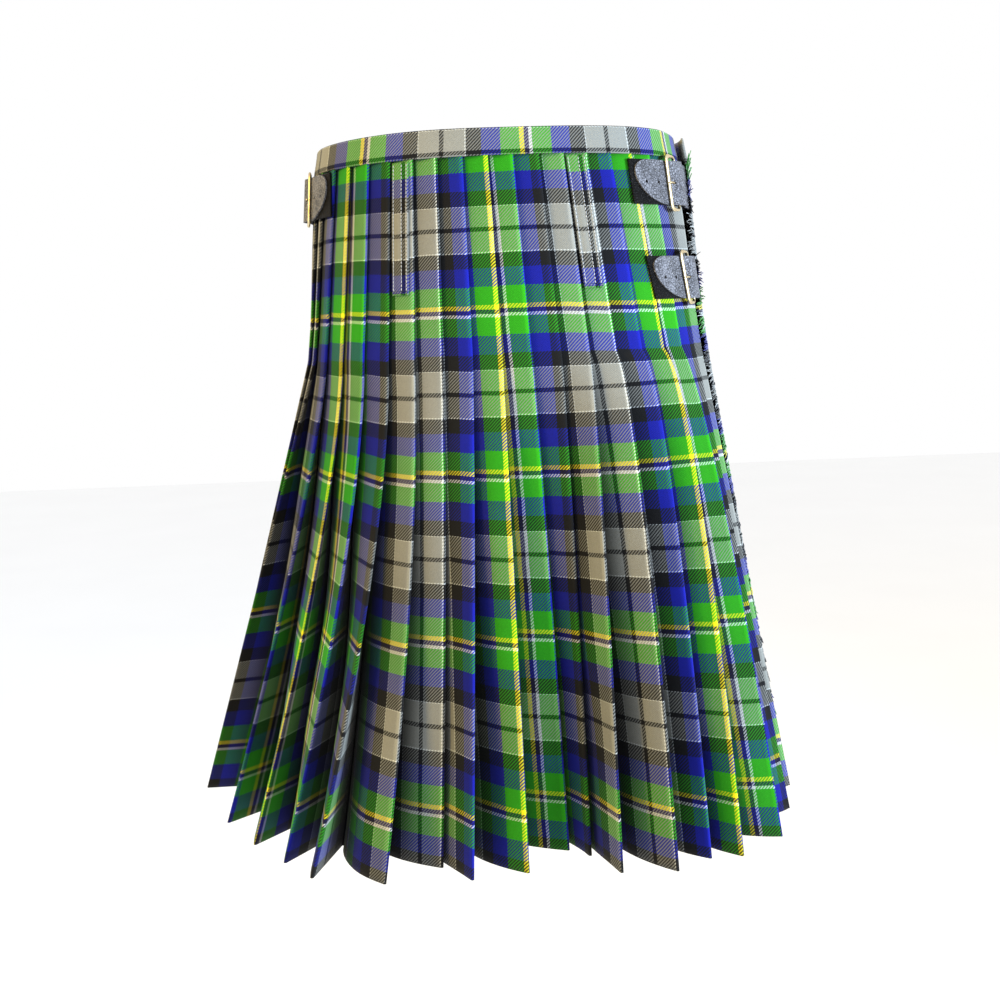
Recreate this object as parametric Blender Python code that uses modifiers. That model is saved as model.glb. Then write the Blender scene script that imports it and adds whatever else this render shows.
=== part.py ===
"""A worn tartan kilt: knife pleats at the back, plain aprons at the front, belted with three leather straps.

Metres, +Z up. The origin is the centre of the waist, the pleated back faces -Y and the wearer's right is +X.
"""
import math
from collections import namedtuple

import bmesh
import bpy
import numpy as np
from mathutils import Vector

COLLECTION_NAME = "kilt"
MM = 0.001

# Heights
BAND_BOTTOM = -0.0235
BODY_TOP = -0.0238
FELL_BOTTOM = -0.185
HEM = -0.600
PLEAT_LEVELS = (BODY_TOP, -0.062, -0.104, -0.146, FELL_BOTTOM, -0.225, -0.270,
                -0.315, -0.365, -0.415, -0.475, -0.535, HEM)

# Body rings from the waist to the hips
RING_STEPS = 1440
BODY_SQUARENESS = 2.2
BodyRing = namedtuple("BodyRing", "z half_width half_depth")
BODY_RINGS = (
    BodyRing(0.0000, 0.1575, 0.1270),
    BodyRing(-0.0235, 0.1610, 0.1290),
    BodyRing(-0.0800, 0.1665, 0.1310),
    BodyRing(-0.1500, 0.1727, 0.1350),
    BodyRing(-0.2000, 0.1790, 0.1420),
)
HEM_CENTRE_X = -0.008
HEM_HALF_WIDTH = 0.257
HEM_HALF_DEPTH = 0.205
HEM_SQUARENESS = 2.6

# Walls and seams
WALL = 0.0013
BAND_WALL = 0.0026
SEAM_GAP = 0.0003
CORNER_GAP = 0.0009
LAYER_STEP = 0.0022
FOLD_BULGE = 0.55 * LAYER_STEP

# Pleats: the fold edges at the waist and at the fell, counted from the back centre
PLEAT_COUNT = 21
CENTRE_PLEAT = 11
WAIST_FACE = 0.0203
FELL_FACE = 0.0240
WAIST_SHIFT = -0.010
FELL_SHIFT = -0.0045
TUCK_SHARE = 0.75
START_SHARE = 1.15
TAIL = 0.012
JOINED_PLEAT = 10
POINTS_PER_PLEAT = 8

# Each pleat's outer fold edge and inner fold at the hem, in plan, how far its face bows out there,
# and how late it swings out on its way down: 1 is evenly, more is nearer the hem
HemPleat = namedtuple("HemPleat", "edge_x edge_y fold_x fold_y bow late")
HEM_PLEATS = (
    HemPleat(-292, 116, -252, 108, 3, 1.00),
    HemPleat(-304, 82, -260, 76, 3, 1.00),
    HemPleat(-310, 46, -264, 44, 4, 1.00),
    HemPleat(-309, 10, -262, 10, 4, 1.00),
    HemPleat(-270, -79, -230, -42, 5, 1.20),
    HemPleat(-236, -130, -198, -84, 6, 1.30),
    HemPleat(-203, -169, -166, -118, 5, 1.40),
    HemPleat(-176, -200, -158, -140, 6, 1.50),
    HemPleat(-115, -216, -126, -152, 9, 1.55),
    HemPleat(-70, -190, -88, -150, 5, 1.30),
    HemPleat(-44, -215, -55, -150, 0, 1.18),
    HemPleat(1, -206, -20, -140, 6, 0.90),
    HemPleat(36, -166, 25, -132, 4, 0.85),
    HemPleat(54, -178, 48, -139, -1, 0.75),
    HemPleat(77, -212, 72, -144, 1, 0.65),
    HemPleat(122, -213, 110, -150, 7, 0.62),
    HemPleat(152, -192, 139, -148, 4, 0.60),
    HemPleat(179, -190, 168, -140, 4, 0.60),
    HemPleat(219, -155, 204, -110, 5, 0.75),
    HemPleat(239, -96, 212, -56, 4, 0.95),
    HemPleat(252, -42, 222, -8, 4, 1.00),
)
HEM_START_PAST_QUARTER = 0.143
HEM_TAIL_X = 0.235
HEM_TAIL_Y = 0.014

# Aprons
APRON_STEPS = 20
APRON_EDGE_SHARE = 0.92
APRON_HEM_EDGE_SHARE = 1.03
APRON_LIFT = 0.0056
APRON_EDGE_LIFT = 0.0086
UNDER_APRON_SHARE = 0.86
UNDER_APRON_LIFT = 0.0

# Waistband
BAND_BACK_LIFT = 0.0032
BAND_LEVELS = (0.0, -0.0118, BAND_BOTTOM)
BAND_FRONT_STEPS = 26
BAND_BACK_STEPS = 26

# Fringe of the over apron
STRAND_COUNT = 100
STRIP_WIDTH = 0.005
STRIP_WALL = 0.0012
STRAND_LENGTH = 0.014
STRAND_ROOT_SHARE = 0.62
STRAND_TIP_SHARE = 0.30

# Belt loops
LOOP_WIDTH = 0.0156
LOOP_BOTTOM = -0.131
LOOP_WALL = 0.0014
LOOP_LIFT = 0.0018
LOOP_PLEATS = (("belt_loop_left", 8), ("belt_loop_right", 15))
LOOP_STEPS = 6

# Straps and buckles
STRAP_WIDTH = 0.037
STRAP_WALL = 0.0016
CHAPE_WIDTH = 0.037
CHAPE_WALL = 0.0014
BAR_HALF_WIDTH = 0.0022
WIRE_RADIUS = 0.0013
WIRE_SIDES = 2
FRAME_SIDES = 8
FRAME_LENGTH = 0.0445
FRAME_REACH = 0.015
CORNER_RADIUS = 0.004
CHAPE_LIFT = 0.0061
HINGE_LIFT = 0.0084
OVER_HINGE_LIFT = 0.0125
CHAPE_RETURN_LIFT = 0.0107
STRAP_LIFT = 0.0064
TONGUE_LIFT = 0.0079
FRONT_BAR_LIFT = 0.0103
PRONG_RADIUS = 0.0008
# The buckle's place on the body, the way its strap comes from, its tilt, and the strap's length from it
BuckleSet = namedtuple("BuckleSet", "name arc z side tilt root")
BUCKLE_SETS = (
    BuckleSet("upper_right", 0.150, -0.0450, 1, 8.0, 0.082),
    BuckleSet("lower_right", 0.167, -0.1240, 1, 14.0, 0.066),
    BuckleSet("left", -0.194, -0.0430, -1, 0.0, 0.054),
)
TONGUE_LENGTH = 0.036
TONGUE_TOP_LENGTH = 0.015
TONGUE_TOP_DROP = 0.010
CHAPE_LENGTH = 0.055
RETURN_LENGTH = 0.004
HOLE_SHARE = 0.06


class Ring:
    """A closed curve round the body, measured by its arc from the middle of the back."""

    def __init__(self, half_width, half_depth, squareness, centre_x=0.0):
        turn = np.linspace(-math.pi, math.pi, RING_STEPS + 1)
        wide = (np.abs(np.sin(turn)) / half_width) ** squareness
        deep = (np.abs(np.cos(turn)) / half_depth) ** squareness
        radius = (wide + deep) ** (-1.0 / squareness)
        self.x = radius * np.sin(turn) + centre_x
        self.y = -radius * np.cos(turn)
        steps = np.hypot(np.diff(self.x), np.diff(self.y))
        arc = np.concatenate([[0.0], np.cumsum(steps)])
        self.arc = arc - np.interp(0.0, turn, arc)
        self.length = float(arc[-1])
        self.quarter = self.length / 4.0

    def on_curve(self, arc):
        wrapped = (arc - self.arc[0]) % self.length + self.arc[0]
        return np.array([np.interp(wrapped, self.arc, self.x), np.interp(wrapped, self.arc, self.y)])

    def at(self, arc, lift):
        """The plan point at an arc from the back centre, moved out by the lift."""
        here = self.on_curve(arc)
        along = self.on_curve(arc + 0.0015) - self.on_curve(arc - 0.0015)
        along /= np.linalg.norm(along)
        return here + lift * np.array([along[1], -along[0]])


def body_ring(z):
    levels = [ring.z for ring in BODY_RINGS][::-1]
    widths = [ring.half_width for ring in BODY_RINGS][::-1]
    depths = [ring.half_depth for ring in BODY_RINGS][::-1]
    return Ring(np.interp(z, levels, widths), np.interp(z, levels, depths), BODY_SQUARENESS)


FELL_RING = body_ring(FELL_BOTTOM)
HEM_RING = Ring(HEM_HALF_WIDTH, HEM_HALF_DEPTH, HEM_SQUARENESS, HEM_CENTRE_X)


def mix(first, second, share):
    return first + (second - first) * share


def unit(vector):
    return vector / np.linalg.norm(vector)


def face_width(z):
    return float(np.interp(z, (FELL_BOTTOM, BODY_TOP), (FELL_FACE, WAIST_FACE)))


def edge_arc(z, pleat):
    """How far round the back a pleat's fold edge lies, within the sewn part."""
    shift = float(np.interp(z, (FELL_BOTTOM, BODY_TOP), (FELL_SHIFT, WAIST_SHIFT)))
    return shift + (pleat - CENTRE_PLEAT) * face_width(z)


def start_arc(z):
    return edge_arc(z, 0) - START_SHARE * face_width(z)


def tail_arc(z):
    return edge_arc(z, PLEAT_COUNT - 1) - TUCK_SHARE * face_width(z) + TAIL


def tail_lift(z):
    width = face_width(z)
    slope = 2.0 * LAYER_STEP / width
    return -slope * (TUCK_SHARE * width - TAIL)


def sewn_guides(ring, z):
    """Plan guides of the pressed pleats: three parallel layers, each face running under the one before."""
    width = face_width(z)
    slope = 2.0 * LAYER_STEP / width
    tuck = TUCK_SHARE * width
    guides = [ring.at(start_arc(z), 0.0)]
    from_arc = start_arc(z)
    from_lift = 0.0
    for pleat in range(PLEAT_COUNT):
        edge = edge_arc(z, pleat)
        for share in (1.0 / 3.0, 2.0 / 3.0):
            guides.append(ring.at(mix(from_arc, edge, share), mix(from_lift, 2.0 * LAYER_STEP, share)))
        guides.append(ring.at(edge, 1.5 * LAYER_STEP))
        guides.append(ring.at(edge - 0.5 * tuck, LAYER_STEP - 0.5 * slope * tuck))
        guides.append(ring.at(edge - tuck, 0.5 * LAYER_STEP - slope * tuck))
        from_arc = edge - tuck
        from_lift = -slope * tuck
    guides.append(ring.at(tail_arc(z), tail_lift(z)))
    return np.array(guides)


def hem_guides():
    """Plan guides of the open pleats along the hem."""
    last = HEM_RING.at(-(HEM_RING.quarter + HEM_START_PAST_QUARTER), 0.0)
    guides = [last]
    for row in HEM_PLEATS:
        edge = np.array([row.edge_x, row.edge_y]) * MM
        fold = np.array([row.fold_x, row.fold_y]) * MM
        along = unit(edge - last)
        outward = np.array([along[1], -along[0]])
        for share in (1.0 / 3.0, 2.0 / 3.0):
            guides.append(mix(last, edge, share) + outward * row.bow * MM)
        guides.append(edge)
        guides.append(mix(edge, fold, 0.5))
        guides.append(fold)
        last = fold
    guides.append(np.array([HEM_TAIL_X, HEM_TAIL_Y]))
    return np.array(guides)


def swing_shares(share):
    """How far each guide point has swung from its sewn place to its place at the hem."""
    late = [row.late for row in HEM_PLEATS]
    powers = [1.0]
    for pleat, own in enumerate(late):
        before = late[max(pleat - 1, 0)]
        after = late[min(pleat + 1, PLEAT_COUNT - 1)]
        powers += [0.5 * (before + own), own, own, own, 0.5 * (own + after)]
    powers.append(1.0)
    return (share ** np.array(powers))[:, None]


def pleat_guides(z):
    if z >= FELL_BOTTOM:
        return sewn_guides(body_ring(z), z)
    share = (FELL_BOTTOM - z) / (FELL_BOTTOM - HEM)
    return mix(sewn_guides(FELL_RING, FELL_BOTTOM), hem_guides(), swing_shares(share))


def fold_frame(before, centre, after):
    """The way a fold points, and the way across it towards the layer that comes first."""
    to_before = unit(before - centre)
    to_after = unit(after - centre)
    out = -unit(to_before + to_after)
    across = np.array([-out[1], out[0]])
    if np.dot(across, to_before - to_after) < 0.0:
        across = -across
    return out, across


def pleat_path(z):
    """The cloth's middle line at one height, from the over apron's join to the under apron's."""
    guides = pleat_guides(z)
    path = [guides[0]]
    for pleat in range(PLEAT_COUNT):
        first = 1 + 5 * pleat
        face_low, face_high, edge, under, fold = guides[first:first + 5]
        onward = guides[first + 5]
        out, across = fold_frame(face_high, edge, under)
        path += [face_low, face_high]
        path += [edge + 0.5 * LAYER_STEP * across, edge + FOLD_BULGE * out, edge - 0.5 * LAYER_STEP * across]
        out, across = fold_frame(under, fold, onward)
        path += [under, fold + 0.5 * LAYER_STEP * across, fold - 0.5 * LAYER_STEP * across]
    path.append(guides[-1])
    return np.array(path)


def over_apron_path(z):
    """The over apron's middle line, from its fringed edge round the front to the first pleat."""
    shares = np.linspace(0.0, 1.0, APRON_STEPS + 1)
    lifts = np.interp(shares, (0.0, 0.06, 0.14, 0.93, 1.0),
                      (APRON_EDGE_LIFT, APRON_EDGE_LIFT, APRON_LIFT, APRON_LIFT, 0.0))

    def along(ring, first, last):
        return np.array([ring.at(mix(first, last, share), lift) for share, lift in zip(shares, lifts)])

    def sewn(ring, level):
        return along(ring, APRON_EDGE_SHARE * ring.quarter, ring.length + start_arc(level))

    if z >= FELL_BOTTOM:
        path = sewn(body_ring(z), z)
    else:
        share = (FELL_BOTTOM - z) / (FELL_BOTTOM - HEM)
        hem = along(HEM_RING, APRON_HEM_EDGE_SHARE * HEM_RING.quarter,
                    HEM_RING.length - HEM_RING.quarter - HEM_START_PAST_QUARTER)
        path = mix(sewn(FELL_RING, FELL_BOTTOM), hem, share)
    path[-1] = path[-1] - unit(path[-1] - path[-2]) * CORNER_GAP
    return path


def fringe_guides(z):
    """Plan points of the fringe: where its strip starts and ends, and where its strands end."""
    steps = (SEAM_GAP, SEAM_GAP + STRIP_WIDTH, SEAM_GAP + STRIP_WIDTH + STRAND_LENGTH)

    def along(ring, edge):
        return np.array([ring.at(edge - step, APRON_EDGE_LIFT) for step in steps])

    ring = body_ring(max(z, FELL_BOTTOM))
    sewn = along(ring, APRON_EDGE_SHARE * ring.quarter)
    if z >= FELL_BOTTOM:
        return sewn
    share = (FELL_BOTTOM - z) / (FELL_BOTTOM - HEM)
    return mix(sewn, along(HEM_RING, APRON_HEM_EDGE_SHARE * HEM_RING.quarter), share)


def under_apron_path(z):
    """The under apron's middle line, from the last pleat round the front beneath the over apron."""
    shares = np.linspace(0.0, 1.0, APRON_STEPS + 1)

    def along(ring, first, last, first_lift):
        lifts = np.interp(shares, (0.0, 0.06), (first_lift, UNDER_APRON_LIFT))
        return np.array([ring.at(mix(first, last, share), lift) for share, lift in zip(shares, lifts)])

    def last_arc(ring, first, join):
        return mix(first, join, UNDER_APRON_SHARE)

    def sewn(ring, level):
        end = last_arc(ring, APRON_EDGE_SHARE * ring.quarter, ring.length + start_arc(level))
        return along(ring, tail_arc(level), end, tail_lift(level))

    if z >= FELL_BOTTOM:
        path = sewn(body_ring(z), z)
    else:
        share = (FELL_BOTTOM - z) / (FELL_BOTTOM - HEM)
        join = HEM_RING.length - HEM_RING.quarter - HEM_START_PAST_QUARTER
        hem = along(HEM_RING, 1.06 * HEM_RING.quarter,
                    last_arc(HEM_RING, APRON_HEM_EDGE_SHARE * HEM_RING.quarter, join), 0.0)
        hem[0] = np.array([HEM_TAIL_X, HEM_TAIL_Y])
        path = mix(sewn(FELL_RING, FELL_BOTTOM), hem, share)
    path[0] = path[0] + unit(path[1] - path[0]) * SEAM_GAP
    return path


def band_path(z):
    """The waistband's middle line: over the front, round the back and under the front again."""
    ring = body_ring(z)
    level = BODY_TOP
    edge = APRON_EDGE_SHARE * ring.quarter
    join = ring.length + start_arc(level)
    back_end = ring.length + tail_arc(level)
    under_end = ring.length + mix(edge, join, UNDER_APRON_SHARE)
    path = []
    for share in np.linspace(0.0, 1.0, BAND_FRONT_STEPS + 1)[:-1]:
        lift = np.interp(share, (0.0, 0.06, 0.14, 0.91, 1.0),
                         (APRON_EDGE_LIFT, APRON_EDGE_LIFT, APRON_LIFT, APRON_LIFT, BAND_BACK_LIFT))
        path.append(ring.at(mix(edge, join, share), lift))
    for share in np.linspace(0.0, 1.0, BAND_BACK_STEPS + 1):
        path.append(ring.at(mix(join, back_end - 0.020, share), BAND_BACK_LIFT))
    for share in np.linspace(0.0, 1.0, BAND_FRONT_STEPS + 1)[1:]:
        lift = np.interp(share, (0.0, 0.06), (BAND_BACK_LIFT, UNDER_APRON_LIFT))
        path.append(ring.at(mix(back_end - 0.020, under_end, share), lift))
    return np.array(path)


def new_object(name, mesh, collection, material):
    mesh.materials.append(material)
    obj = bpy.data.objects.new(name, mesh)
    collection.objects.link(obj)
    return obj


def mesh_from(name, points, faces):
    mesh = bpy.data.meshes.new(name)
    mesh.from_pydata([tuple(float(value) for value in point) for point in points], [], faces)
    mesh.update()
    return mesh


def grid_faces(row_count, column_count, skipped=()):
    faces = []
    for row in range(row_count - 1):
        for column in range(column_count - 1):
            if (row, column) in skipped:
                continue
            corner = row * column_count + column
            faces.append((corner, corner + column_count, corner + column_count + 1, corner + 1))
    return faces


def cloth_wall(name, rows, thickness, collection, material, skipped=()):
    """A wall of even thickness about a grid of points, one row above the next."""
    points = [point for row in rows for point in row]
    mesh = mesh_from(name, points, grid_faces(len(rows), len(rows[0]), skipped))
    obj = new_object(name, mesh, collection, material)
    solidify = obj.modifiers.new("wall", "SOLIDIFY")
    solidify.thickness = thickness
    solidify.offset = 0.0
    solidify.use_rim = True
    return obj


def level_rows(path_at, levels):
    return [[(x, y, z) for x, y in path_at(z)] for z in levels]


def add_pleats(collection, material):
    """Two lengths of pleated cloth, joined by a seam within the tuck of one pleat."""
    rows = level_rows(pleat_path, PLEAT_LEVELS)
    join = 1 + JOINED_PLEAT * POINTS_PER_PLEAT + 5
    left_rows = []
    right_rows = []
    for row in rows:
        points = np.array(row)
        half_gap = 0.5 * SEAM_GAP
        left = points[:join + 1].copy()
        right = points[join:].copy()
        left[-1] -= unit(left[-1] - left[-2]) * half_gap
        right[0] += unit(right[1] - right[0]) * half_gap
        left_rows.append(left)
        right_rows.append(right)
    cloth_wall("pleats_left", left_rows, WALL, collection, material)
    cloth_wall("pleats_right", right_rows, WALL, collection, material)


def add_fringe(collection, material):
    """A narrow strip along the over apron's edge, with its strands fused to it."""
    levels = np.linspace(BODY_TOP - 0.001, HEM + 0.001, STRAND_COUNT + 1)
    corners = []
    reach_rows = []
    for z in levels:
        start, end, tip = fringe_guides(z)
        back = unit(end - start)
        half = 0.5 * STRIP_WALL * np.array([-back[1], back[0]])
        corners.append([start + half, end + half, end - half, start - half])
        reach_rows.append(tip - end)
    points = []
    faces = []
    for z, row in zip(levels, corners):
        points += [(x, y, z) for x, y in row]
    last = 4 * STRAND_COUNT
    faces.append((3, 2, 1, 0))
    faces.append((last, last + 1, last + 2, last + 3))
    for cell in range(STRAND_COUNT):
        top = 4 * cell
        low = top + 4
        for side in (0, 2, 3):
            after = (side + 1) % 4
            faces.append((top + after, low + after, low + side, top + side))
        frame = [np.array(points[index]) for index in (top + 1, low + 1, low + 2, top + 2)]
        centre = sum(frame) / 4.0
        reach = np.append(0.5 * (reach_rows[cell] + reach_rows[cell + 1]), 0.0)
        reach *= 0.82 + 0.18 * math.sin(2.3 * cell)
        reach[2] -= 0.0016 + 0.0012 * math.sin(1.7 * cell)
        if cell >= STRAND_COUNT - 2:
            reach[2] = 0.0
        root = len(points)
        points += [tuple(mix(centre, corner, STRAND_ROOT_SHARE)) for corner in frame]
        points += [tuple(mix(centre, corner, STRAND_TIP_SHARE) + reach) for corner in frame]
        rim = (top + 1, low + 1, low + 2, top + 2)
        for side in range(4):
            after = (side + 1) % 4
            faces.append((root + side, root + after, rim[after], rim[side]))
            faces.append((root + 4 + side, root + 4 + after, root + after, root + side))
        faces.append((root + 7, root + 6, root + 5, root + 4))
    new_object("fringe", mesh_from("fringe", points, faces), collection, material)


def add_belt_loops(collection, material):
    for name, pleat in LOOP_PLEATS:
        rows = []
        for z in np.linspace(BODY_TOP - 0.0005, LOOP_BOTTOM, LOOP_STEPS + 1):
            ring = body_ring(z)
            width = face_width(z)
            slope = 2.0 * LAYER_STEP / width
            centre = edge_arc(z, pleat) - 0.5 * width + 0.0007
            row = []
            for share in (-0.5, 0.0, 0.5):
                arc = centre + share * LOOP_WIDTH
                lift = 2.0 * LAYER_STEP + slope * (arc - edge_arc(z, pleat)) + LOOP_LIFT
                x, y = ring.at(arc, lift)
                row.append((x, y, z))
            rows.append(row)
        cloth_wall(name, rows, LOOP_WALL, collection, material)


def buckle_point(row, along, across, lift):
    """A point of a buckle set: along its strap away from the tongue, across it upwards, and out.

    The set lies level and its bars slant, as they do round a body that narrows upwards.
    """
    tilt = math.radians(row.tilt)
    arc = row.arc + row.side * (along - across * math.sin(tilt))
    z = row.z + across * math.cos(tilt)
    x, y = body_ring(z).at(arc, lift)
    return (x, y, z)


def tongue_bounds(along):
    """The lower and upper edge of a strap: a small round above its tip and a long curve below."""
    half = 0.5 * STRAP_WIDTH
    from_tip = along + TONGUE_LENGTH
    tip = half - TONGUE_TOP_DROP
    upper = half
    lower = -half
    if from_tip < TONGUE_TOP_LENGTH:
        upper = tip + TONGUE_TOP_DROP * math.sqrt(1.0 - (1.0 - from_tip / TONGUE_TOP_LENGTH) ** 2)
    if from_tip < TONGUE_LENGTH:
        lower = tip - (half + tip) * math.sqrt(1.0 - (1.0 - from_tip / TONGUE_LENGTH) ** 2)
    return min(lower, tip - 0.0025), max(upper, tip + 0.0025)


def strap_rows(row, stations):
    """Points of a strap at each station along it, from its lower edge to its upper."""
    rows = []
    for along, lift in stations:
        lower, upper = tongue_bounds(along)
        shares = (0.0, 0.5 - HOLE_SHARE, 0.5 + HOLE_SHARE, 1.0)
        rows.append([buckle_point(row, along, mix(lower, upper, share), lift) for share in shares])
    if row.side > 0:
        rows.reverse()
    return rows


def add_strap(row, collection, material):
    stations = [
        (-TONGUE_LENGTH, TONGUE_LIFT), (-TONGUE_LENGTH + 0.0018, TONGUE_LIFT),
        (-TONGUE_LENGTH + 0.0050, TONGUE_LIFT), (-TONGUE_LENGTH + 0.0100, TONGUE_LIFT),
        (-TONGUE_LENGTH + 0.0180, TONGUE_LIFT), (-0.0100, TONGUE_LIFT), (0.0010, TONGUE_LIFT - 0.0001),
        (0.0036, TONGUE_LIFT + 0.0009), (0.0095, OVER_HINGE_LIFT), (FRAME_REACH, OVER_HINGE_LIFT),
        (FRAME_REACH + 0.0045, OVER_HINGE_LIFT), (FRAME_REACH + 0.0155, STRAP_LIFT + 0.0008),
    ]
    count = int(math.ceil((row.root - stations[-1][0]) / 0.010))
    first = stations[-1][0]
    stations += [(mix(first, row.root, (step + 1) / count), STRAP_LIFT) for step in range(count)]
    rows = strap_rows(row, stations)
    hole_row = 7 if row.side < 0 else len(rows) - 2 - 7
    name = "strap_" + row.name
    cloth_wall(name, rows, STRAP_WALL, collection, material, skipped={(hole_row, 1)})


def add_chape(row, collection, material):
    """The tab that holds the buckle: sewn flat, round the hinge bar, and back over itself."""
    hinge = FRAME_REACH
    flat_steps = 6
    stations = [(hinge - CHAPE_LENGTH * (1.0 - step / flat_steps), CHAPE_LIFT) for step in range(flat_steps)]
    middle = 0.5 * (CHAPE_LIFT + CHAPE_RETURN_LIFT)
    half = 0.5 * (CHAPE_RETURN_LIFT - CHAPE_LIFT)
    for turn in (-90, -45, 0, 45, 90):
        angle = math.radians(turn)
        stations.append((hinge + half * math.cos(angle), middle + half * math.sin(angle)))
    stations.append((hinge - RETURN_LENGTH, CHAPE_RETURN_LIFT))
    rows = []
    for along, lift in stations:
        shares = (-0.5, -0.07, 0.07, 0.5)
        rows.append([buckle_point(row, along, share * CHAPE_WIDTH, lift) for share in shares])
    if row.side > 0:
        rows.reverse()
    slot = {(number, 1) for number in range(flat_steps, len(rows) - 1)}
    if row.side > 0:
        slot = {(len(rows) - 2 - number, 1) for number, _ in slot}
    cloth_wall("chape_" + row.name, rows, CHAPE_WALL, collection, material, skipped=slot)


def wire_object(name, points, radius, cyclic, collection, material):
    """A round wire along a list of points."""
    curve = bpy.data.curves.new(name, "CURVE")
    curve.dimensions = "3D"
    curve.bevel_depth = radius
    curve.bevel_resolution = WIRE_SIDES
    curve.use_fill_caps = not cyclic
    spline = curve.splines.new("POLY")
    spline.points.add(len(points) - 1)
    for target, point in zip(spline.points, points):
        target.co = (*point, 1.0)
    spline.use_cyclic_u = cyclic
    source = bpy.data.objects.new(name + "_curve", curve)
    collection.objects.link(source)
    mesh = bpy.data.meshes.new_from_object(source)
    bpy.data.objects.remove(source)
    edit = bmesh.new()
    edit.from_mesh(mesh)
    bmesh.ops.remove_doubles(edit, verts=edit.verts, dist=0.00001)
    bmesh.ops.recalc_face_normals(edit, faces=edit.faces)
    edit.to_mesh(mesh)
    edit.free()
    return new_object(name, mesh, collection, material)


def add_frame(row, collection, material):
    """The buckle's cast frame, with round corners: broad along its front bar, round at its hinge bar."""
    half = 0.5 * FRAME_LENGTH
    middle = 0.5 * FRAME_REACH
    reach = 0.5 * FRAME_REACH
    outline = []
    for side_along, side_across, first in ((1, 1, 0), (-1, 1, 90), (-1, -1, 180), (1, -1, 270)):
        for step in (0, 30, 60, 90):
            angle = math.radians(first + step)
            along = middle + side_along * (reach - CORNER_RADIUS) + CORNER_RADIUS * math.cos(angle)
            across = side_across * (half - CORNER_RADIUS) + CORNER_RADIUS * math.sin(angle)
            outline.append((along, across))
    centres = []
    halves = []
    for along, across in outline:
        share = along / FRAME_REACH
        centres.append(np.array(buckle_point(row, along, across, mix(FRONT_BAR_LIFT, HINGE_LIFT, share))))
        halves.append(mix(BAR_HALF_WIDTH, WIRE_RADIUS, min(1.0, 1.6 * share)))
    middle_point = sum(centres) / len(centres)
    out = unit(np.array([middle_point[0], middle_point[1], 0.0]))
    points = []
    for number, centre in enumerate(centres):
        ahead = unit(centres[(number + 1) % len(centres)] - centres[number - 1])
        side = unit(np.cross(ahead, out))
        over = np.cross(side, ahead)
        for turn in range(FRAME_SIDES):
            angle = 2.0 * math.pi * turn / FRAME_SIDES
            across = halves[number] * math.cos(angle) * side
            points.append(centre + across + WIRE_RADIUS * math.sin(angle) * over)
    faces = []
    for number in range(len(centres)):
        here = number * FRAME_SIDES
        there = (number + 1) % len(centres) * FRAME_SIDES
        for turn in range(FRAME_SIDES):
            after = (turn + 1) % FRAME_SIDES
            faces.append((here + turn, there + turn, there + after, here + after))
    mesh = mesh_from("buckle_" + row.name, points, faces)
    edit = bmesh.new()
    edit.from_mesh(mesh)
    bmesh.ops.recalc_face_normals(edit, faces=edit.faces)
    edit.to_mesh(mesh)
    edit.free()
    new_object("buckle_" + row.name, mesh, collection, material)


def add_prong(row, collection, material):
    """The prong: from the hinge bar up through the strap's hole to rest on the front bar."""
    clear = WIRE_RADIUS + PRONG_RADIUS + SEAM_GAP
    stations = (
        (FRAME_REACH - clear, HINGE_LIFT + 0.0005),
        (FRAME_REACH - clear - 0.0014, HINGE_LIFT + 0.0009),
        (FRAME_REACH - 0.0065, HINGE_LIFT + 0.0018),
        (FRAME_REACH - 0.0105, FRONT_BAR_LIFT + 0.0016),
        (0.0, FRONT_BAR_LIFT + clear + 0.0001),
        (-0.0024, FRONT_BAR_LIFT + clear),
    )
    points = [buckle_point(row, along, 0.0, lift) for along, lift in stations]
    wire_object("prong_" + row.name, points, PRONG_RADIUS, False, collection, material)


def add_material(name, colour, roughness, metallic):
    material = bpy.data.materials.new(name)
    material.use_nodes = True
    shader = material.node_tree.nodes["Principled BSDF"]
    shader.inputs["Base Color"].default_value = (*colour, 1.0)
    shader.inputs["Roughness"].default_value = roughness
    shader.inputs["Metallic"].default_value = metallic
    material.diffuse_color = (*colour, 1.0)
    return material


def main():
    for old in list(bpy.data.objects):
        bpy.data.objects.remove(old, do_unlink=True)
    collection = bpy.data.collections.new(COLLECTION_NAME)
    bpy.context.scene.collection.children.link(collection)

    pleated = add_material("tartan_wool_pleats", (0.055, 0.16, 0.10), 0.88, 0.0)
    apron = add_material("tartan_wool_apron", (0.055, 0.14, 0.12), 0.88, 0.0)
    band = add_material("tartan_wool_band", (0.08, 0.16, 0.13), 0.88, 0.0)
    loop = add_material("tartan_wool_loop", (0.11, 0.13, 0.14), 0.88, 0.0)
    yarn = add_material("wool_fringe", (0.03, 0.09, 0.05), 0.95, 0.0)
    leather = add_material("charcoal_leather", (0.035, 0.035, 0.038), 0.55, 0.0)
    brass = add_material("worn_brass", (0.56, 0.42, 0.20), 0.35, 1.0)

    add_pleats(collection, pleated)
    cloth_wall("over_apron", level_rows(over_apron_path, PLEAT_LEVELS), WALL, collection, apron)
    cloth_wall("under_apron", level_rows(under_apron_path, PLEAT_LEVELS), WALL, collection, apron)
    cloth_wall("waistband", level_rows(band_path, BAND_LEVELS), BAND_WALL, collection, band)
    add_fringe(collection, yarn)
    add_belt_loops(collection, loop)
    for row in BUCKLE_SETS:
        add_strap(row, collection, leather)
        add_chape(row, collection, leather)
        add_frame(row, collection, brass)
        add_prong(row, collection, brass)


main()
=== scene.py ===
"""A worn tartan kilt dressed over its solids: twill cloth, leather straps, brass buckles and a wool fringe.

Metres, +Z up. The origin is the centre of the waist, the pleated back faces -Y and the wearer's right is +X.
"""
import math
from collections import namedtuple
from functools import lru_cache, partial

import bmesh
import bpy
import numpy as np
from mathutils import Matrix, Vector


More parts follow.
